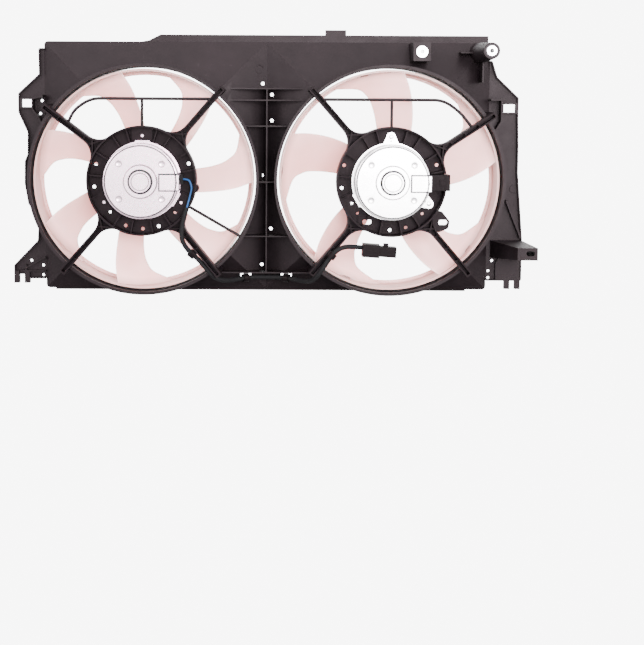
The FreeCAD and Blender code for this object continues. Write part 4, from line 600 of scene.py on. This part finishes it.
def mesh_of(name, points, faces, smooth_limit=SMOOTH_LIMIT):
    mesh = bpy.data.meshes.new(name)
    mesh.from_pydata([tuple(point) for point in points], [], faces)
    bm = bmesh.new()
    bm.from_mesh(mesh)
    bmesh.ops.remove_doubles(bm, verts=bm.verts, dist=MERGE)
    bmesh.ops.recalc_face_normals(bm, faces=bm.faces)
    bm.to_mesh(mesh)
    bm.free()
    soften(mesh, smooth_limit)
    return mesh


def loft(name, rows, smooth_limit=SMOOTH_LIMIT):
    """Skin over closed rows of points, with both ends closed."""
    count = len(rows[0])
    points = [point for row in rows for point in row]
    faces = []
    for low in range(len(rows) - 1):
        for step in range(count):
            after = (step + 1) % count
            start = low * count
            end = start + count
            faces.append((start + step, start + after, end + after, end + step))
    faces.append(tuple(range(count)))
    faces.append(tuple((len(rows) - 1) * count + step for step in reversed(range(count))))
    return mesh_of(name, points, faces, smooth_limit)


def turned(name, profile, segments):
    """Solid turned about the depth axis from a profile of radii and depths."""
    rows = []
    for radius, depth in profile:
        turns = [2 * math.pi * step / segments for step in range(segments)]
        rows.append([(radius * math.cos(turn), -depth, radius * math.sin(turn)) for turn in turns])
    return loft(name, rows)


def curve_through(rows, share):
    """Trailing and leading edge at a share of the span, on a smooth curve through the rows."""
    places = np.array([row[0] for row in rows])
    edges = np.array([row[1:] for row in rows])
    slopes = np.gradient(edges, places, axis=0)
    low = int(np.clip(np.searchsorted(places, share) - 1, 0, len(places) - 2))
    width = places[low + 1] - places[low]
    t = (share - places[low]) / width
    start = (2 * t ** 3 - 3 * t ** 2 + 1) * edges[low] + (t ** 3 - 2 * t ** 2 + t) * width * slopes[low]
    end = (3 * t ** 2 - 2 * t ** 3) * edges[low + 1] + (t ** 3 - t ** 2) * width * slopes[low + 1]
    return start + end


def blade_section(rows, share):
    """Closed section of a blade at a share of its span, with rounded edges."""
    trailing, leading = np.radians(curve_through(rows, share))
    radius = HUB_R + (BAND_R - HUB_R) * share
    front = BLADE_FRONT_HUB + (BLADE_FRONT_TIP - BLADE_FRONT_HUB) * share
    section = []
    for step in range(2 * BLADE_COLUMNS):
        turn = math.pi * step / BLADE_COLUMNS
        along = (1 - math.cos(turn)) / 2
        swell = math.sin(math.pi * along)
        nose = math.sqrt(max(0.0, 1 - (2 * along - 1) ** BLADE_NOSE))
        half = (BLADE_EDGE + (BLADE_THICKNESS - BLADE_EDGE) * swell) / 2 * nose
        side = -1 if turn < math.pi else 1
        depth = BLADE_BACK + (front - BLADE_BACK) * along - BLADE_CAMBER * swell + side * half
        angle = trailing + (leading - trailing) * along
        section.append((radius * math.cos(angle), -depth, radius * math.sin(angle)))
    return section


def make_blades(node, fan, materials):
    """All blades of a fan: one swept, twisted and cambered blade, turned round the axis."""
    low, high = BLADE_SPAN
    shares = [low + (high - low) * row / BLADE_ROWS for row in range(BLADE_ROWS + 1)]
    blade = loft(node + "_one", [blade_section(fan["rows"], share) for share in shares], BLADE_SMOOTH)
    slot = "fan_nylon"
    first = math.radians(fan["first"])
    mesh = copies_round_axis(blade, node, fan["axis"], fan["count"], first, materials[slot])
    return add_piece(node + "_swept", mesh, body_of(node), slot, materials, node)


def make_screws(node, axis_x, materials):
    """A motor's screws: domed heads and threaded shanks."""
    low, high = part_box(node)
    front, back = -high.y, -low.y
    under = front + SCREW_HEAD
    profile = [(0.0, front)]
    profile += [(SCREW_HEAD_R * share, front + depth) for share, depth in SCREW_DOME]
    profile += [(SCREW_HEAD_R, under), (SCREW_R, under)]
    turns = int((back - under) / SCREW_PITCH)
    for turn in range(turns):
        start = under + turn * SCREW_PITCH
        profile += [(SCREW_R * share, start + depth) for share, depth in SCREW_THREAD]
    profile += [(SCREW_R * SCREW_TIP, back), (0.0, back)]
    screw = turned(node + "_one", profile, SCREW_SEGMENTS)
    bm = bmesh.new()
    bm.from_mesh(screw)
    bmesh.ops.translate(bm, verts=bm.verts, vec=(SCREW_CIRCLE, 0, 0))
    bm.to_mesh(screw)
    bm.free()
    slot = "zinc_steel"
    first = math.radians(SCREW_FIRST)
    mesh = copies_round_axis(screw, node, axis_x, SCREW_COUNT, first, materials[slot])
    return add_piece(node + "_threaded", mesh, body_of(node), slot, materials, node)


def make_mark(index, x, z, on, pieces, materials):
    """Round mark of a mould, raised a little from the surface that it lies on."""
    bm = bmesh.new()
    bm.from_mesh(pieces[on].data)
    metre_in_front = Vector((x, -1.0, z))
    place, normal, _, _ = BVHTree.FromBMesh(bm).ray_cast(metre_in_front, Vector((0, 1, 0)))
    bm.free()
    inner, outer = MARK_R - MARK_FOOT, MARK_R + MARK_FOOT
    ring = ((inner, 0.0), (MARK_R - MARK_TOP, MARK_RIDGE), (MARK_R + MARK_TOP, MARK_RIDGE),
            (outer, 0.0), (outer, -MARK_RIDGE), (inner, -MARK_RIDGE))
    turn = Vector((0, 0, 1)).rotation_difference(normal).to_matrix()
    rows = []
    for step in range(MARK_SEGMENTS):
        angle = 2 * math.pi * step / MARK_SEGMENTS
        across, up = math.cos(angle), math.sin(angle)
        flat = [Vector((radius * across, radius * up, height)) for radius, height in ring]
        rows.append([turn @ point + place for point in flat])
    count = len(ring)
    faces = []
    for step in range(MARK_SEGMENTS):
        start = step * count
        end = (step + 1) % MARK_SEGMENTS * count
        for side in range(count):
            other = (side + 1) % count
            faces.append((start + side, end + side, end + other, start + other))
    mesh = mesh_of("mould_mark", [point for row in rows for point in row], faces)
    slot = "shroud_plastic"
    return add_piece("mould_mark_" + str(index), mesh, "root", slot, materials)


def lead_curve(name, radius):
    """Route of the lead as one smooth spline, with a round section where a radius is given."""
    curve = bpy.data.curves.new(name, "CURVE")
    curve.dimensions = "3D"
    curve.bevel_depth = radius
    curve.bevel_resolution = LEAD_ROUND_STEPS
    curve.resolution_u = LEAD_SPAN_STEPS
    curve.use_fill_caps = True
    spline = curve.splines.new("NURBS")
    spline.points.add(len(LEAD_ROUTE_MM) - 1)
    for point, (x, depth, z) in zip(spline.points, LEAD_ROUTE_MM):
        point.co = (x * MM, -depth * MM, z * MM, 1.0)
    spline.order_u = 3
    spline.use_endpoint_u = True
    return curve


def make_lead(materials):
    """Sleeved lead as one smooth curve along its route."""
    slot = "black_rubber"
    curve = lead_curve("lead", LEAD_DIAMETER / 2)
    curve.materials.append(materials[slot])
    lead = bpy.data.objects.new("lead", curve)
    bpy.context.scene.collection.objects.link(lead)
    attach(lead, "root")
    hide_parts("lead_sleeve")
    x, depth, z = LEAD_ROUTE_MM[0]
    return lead, (x * MM, -depth * MM, z * MM)


def make_tape(materials):
    """Edges of the tape that is wound along the lead, a lap apart."""
    slot = "black_rubber"
    shape = Shape("tape_laps", {"Lap": float(TAPE_LAP), "Lead radius": float(LEAD_DIAMETER / 2),
                                "Ridge": float(TAPE_RIDGE), "Finish": materials[slot]})
    laps = shape.node("GeometryNodeResampleCurve", {"mode": "LENGTH"}, {
        "Curve": shape.input("Geometry"), "Length": shape.input("Lap")})
    turn = shape.node("GeometryNodeCurvePrimitiveCircle", {"mode": "RADIUS"}, {
        "Resolution": TAPE_SEGMENTS, "Radius": shape.input("Lead radius")})
    edge = shape.node("GeometryNodeCurvePrimitiveCircle", {"mode": "RADIUS"}, {
        "Resolution": TAPE_EDGE_SEGMENTS, "Radius": shape.input("Ridge")})
    ring = shape.node("GeometryNodeCurveToMesh", {}, {"Curve": turn, "Profile Curve": edge})
    ahead = shape.node("GeometryNodeInputTangent")
    faced = shape.node("FunctionNodeAlignRotationToVector", {"axis": "Z"}, {"Vector": ahead})
    shape.end(shape.node("GeometryNodeInstanceOnPoints", {}, {
        "Points": laps, "Instance": ring, "Rotation": faced}))
    mesh = shape.made_from(lead_curve("tape_route", 0.0))
    soften(mesh, TAPE_SMOOTH)
    return add_piece("tape_laps", mesh, "root", slot, materials)


def make_stage():
    """White floor and backdrop in one sweep, which glows for the camera and is grey to the part."""
    profile = [(FLOOR_START, 0.0), (FLOOR_END, 0.0)]
    for step in range(1, SWEEP_STEPS + 1):
        turn = math.pi / 2 * step / SWEEP_STEPS
        profile.append((FLOOR_END + SWEEP_R * math.sin(turn), SWEEP_R * (1 - math.cos(turn))))
    profile.append((FLOOR_END + SWEEP_R, WALL_TOP))
    sides = (-STAGE_HALF_WIDTH, STAGE_HALF_WIDTH)
    bm = bmesh.new()
    rows = [[bm.verts.new((x, y, FLOOR_Z + z)) for x in sides] for y, z in profile]
    for low, high in zip(rows, rows[1:]):
        bm.faces.new((low[0], low[1], high[1], high[0]))
    mesh = bpy.data.meshes.new("backdrop")
    bm.to_mesh(mesh)
    bm.free()
    soften(mesh, STAGE_SMOOTH)
    material = bpy.data.materials.new("backdrop_white")
    material.use_nodes = True
    graph = Graph(material.node_tree)
    pale = graph.node("ShaderNodeBsdfDiffuse", {}, {"Color": rgb(STAGE_SHADE, STAGE_SHADE, STAGE_SHADE)})
    white = graph.node("ShaderNodeEmission", {}, {"Color": rgb(1.0, 1.0, 1.0), "Strength": STAGE_GLOW})
    seen = graph.node("ShaderNodeLightPath", {}, {}, "Is Camera Ray")
    surface = graph.node("ShaderNodeMixShader", {}, {0: seen, 1: pale, 2: white})
    graph.node("ShaderNodeOutputMaterial", {}, {"Surface": surface})
    mesh.materials.append(material)
    stage = bpy.data.objects.new("backdrop", mesh)
    bpy.context.scene.collection.objects.link(stage)


def make_lights():
    """Soft panels in a pale room that is brighter above."""
    for name, at, size, power in LIGHTS:
        data = bpy.data.lights.new(name, "AREA")
        data.shape = "RECTANGLE"
        data.size, data.size_y = size
        data.energy = power
        light = bpy.data.objects.new(name, data)
        light.location = at
        light.visible_camera = False
        light.rotation_euler = (Vector((0, 0, 0)) - Vector(at)).to_track_quat("-Z", "Y").to_euler()
        bpy.context.scene.collection.objects.link(light)
    world = bpy.data.worlds.new("studio")
    world.use_nodes = True
    graph = Graph(world.node_tree)
    direction = graph.node("ShaderNodeTexCoord", {}, {}, "Generated")
    height = graph.axis("Z", direction).clamped(*WORLD_FADE)
    strength = height * (WORLD_HIGH - WORLD_LOW) + WORLD_LOW
    sky = graph.node("ShaderNodeBackground", {}, {"Color": rgb(1.0, 0.96, 0.97), "Strength": strength})
    graph.node("ShaderNodeOutputWorld", {}, {"Surface": sky})
    bpy.context.scene.world = world


def main():
    place_camera()
    materials = make_finishes()
    lead, lead_exit = make_lead(materials)
    tape = make_tape(materials)
    slots = {part["node"]: part["material_slot"] for part in frame["record"]["subparts"]}
    pieces = {}
    for node, slot in slots.items():
        frame["nodes"][node].data.materials.clear()
        frame["nodes"][node].data.materials.append(materials[slot])
        if node not in MODELLED_HERE:
            pieces[node] = dressed(node, slot, materials)
    make_blades("left_fan_blades", LEFT_BLADE, materials)
    make_blades("right_fan_blades", RIGHT_BLADE, materials)
    make_screws("left_motor_screws", -FAN_X, materials)
    make_screws("right_motor_screws", FAN_X, materials)
    for index, (x, z, on) in enumerate(MARK_PLACES):
        make_mark(index + 1, x, z, on, pieces, materials)
    make_stage()
    make_lights()


main()
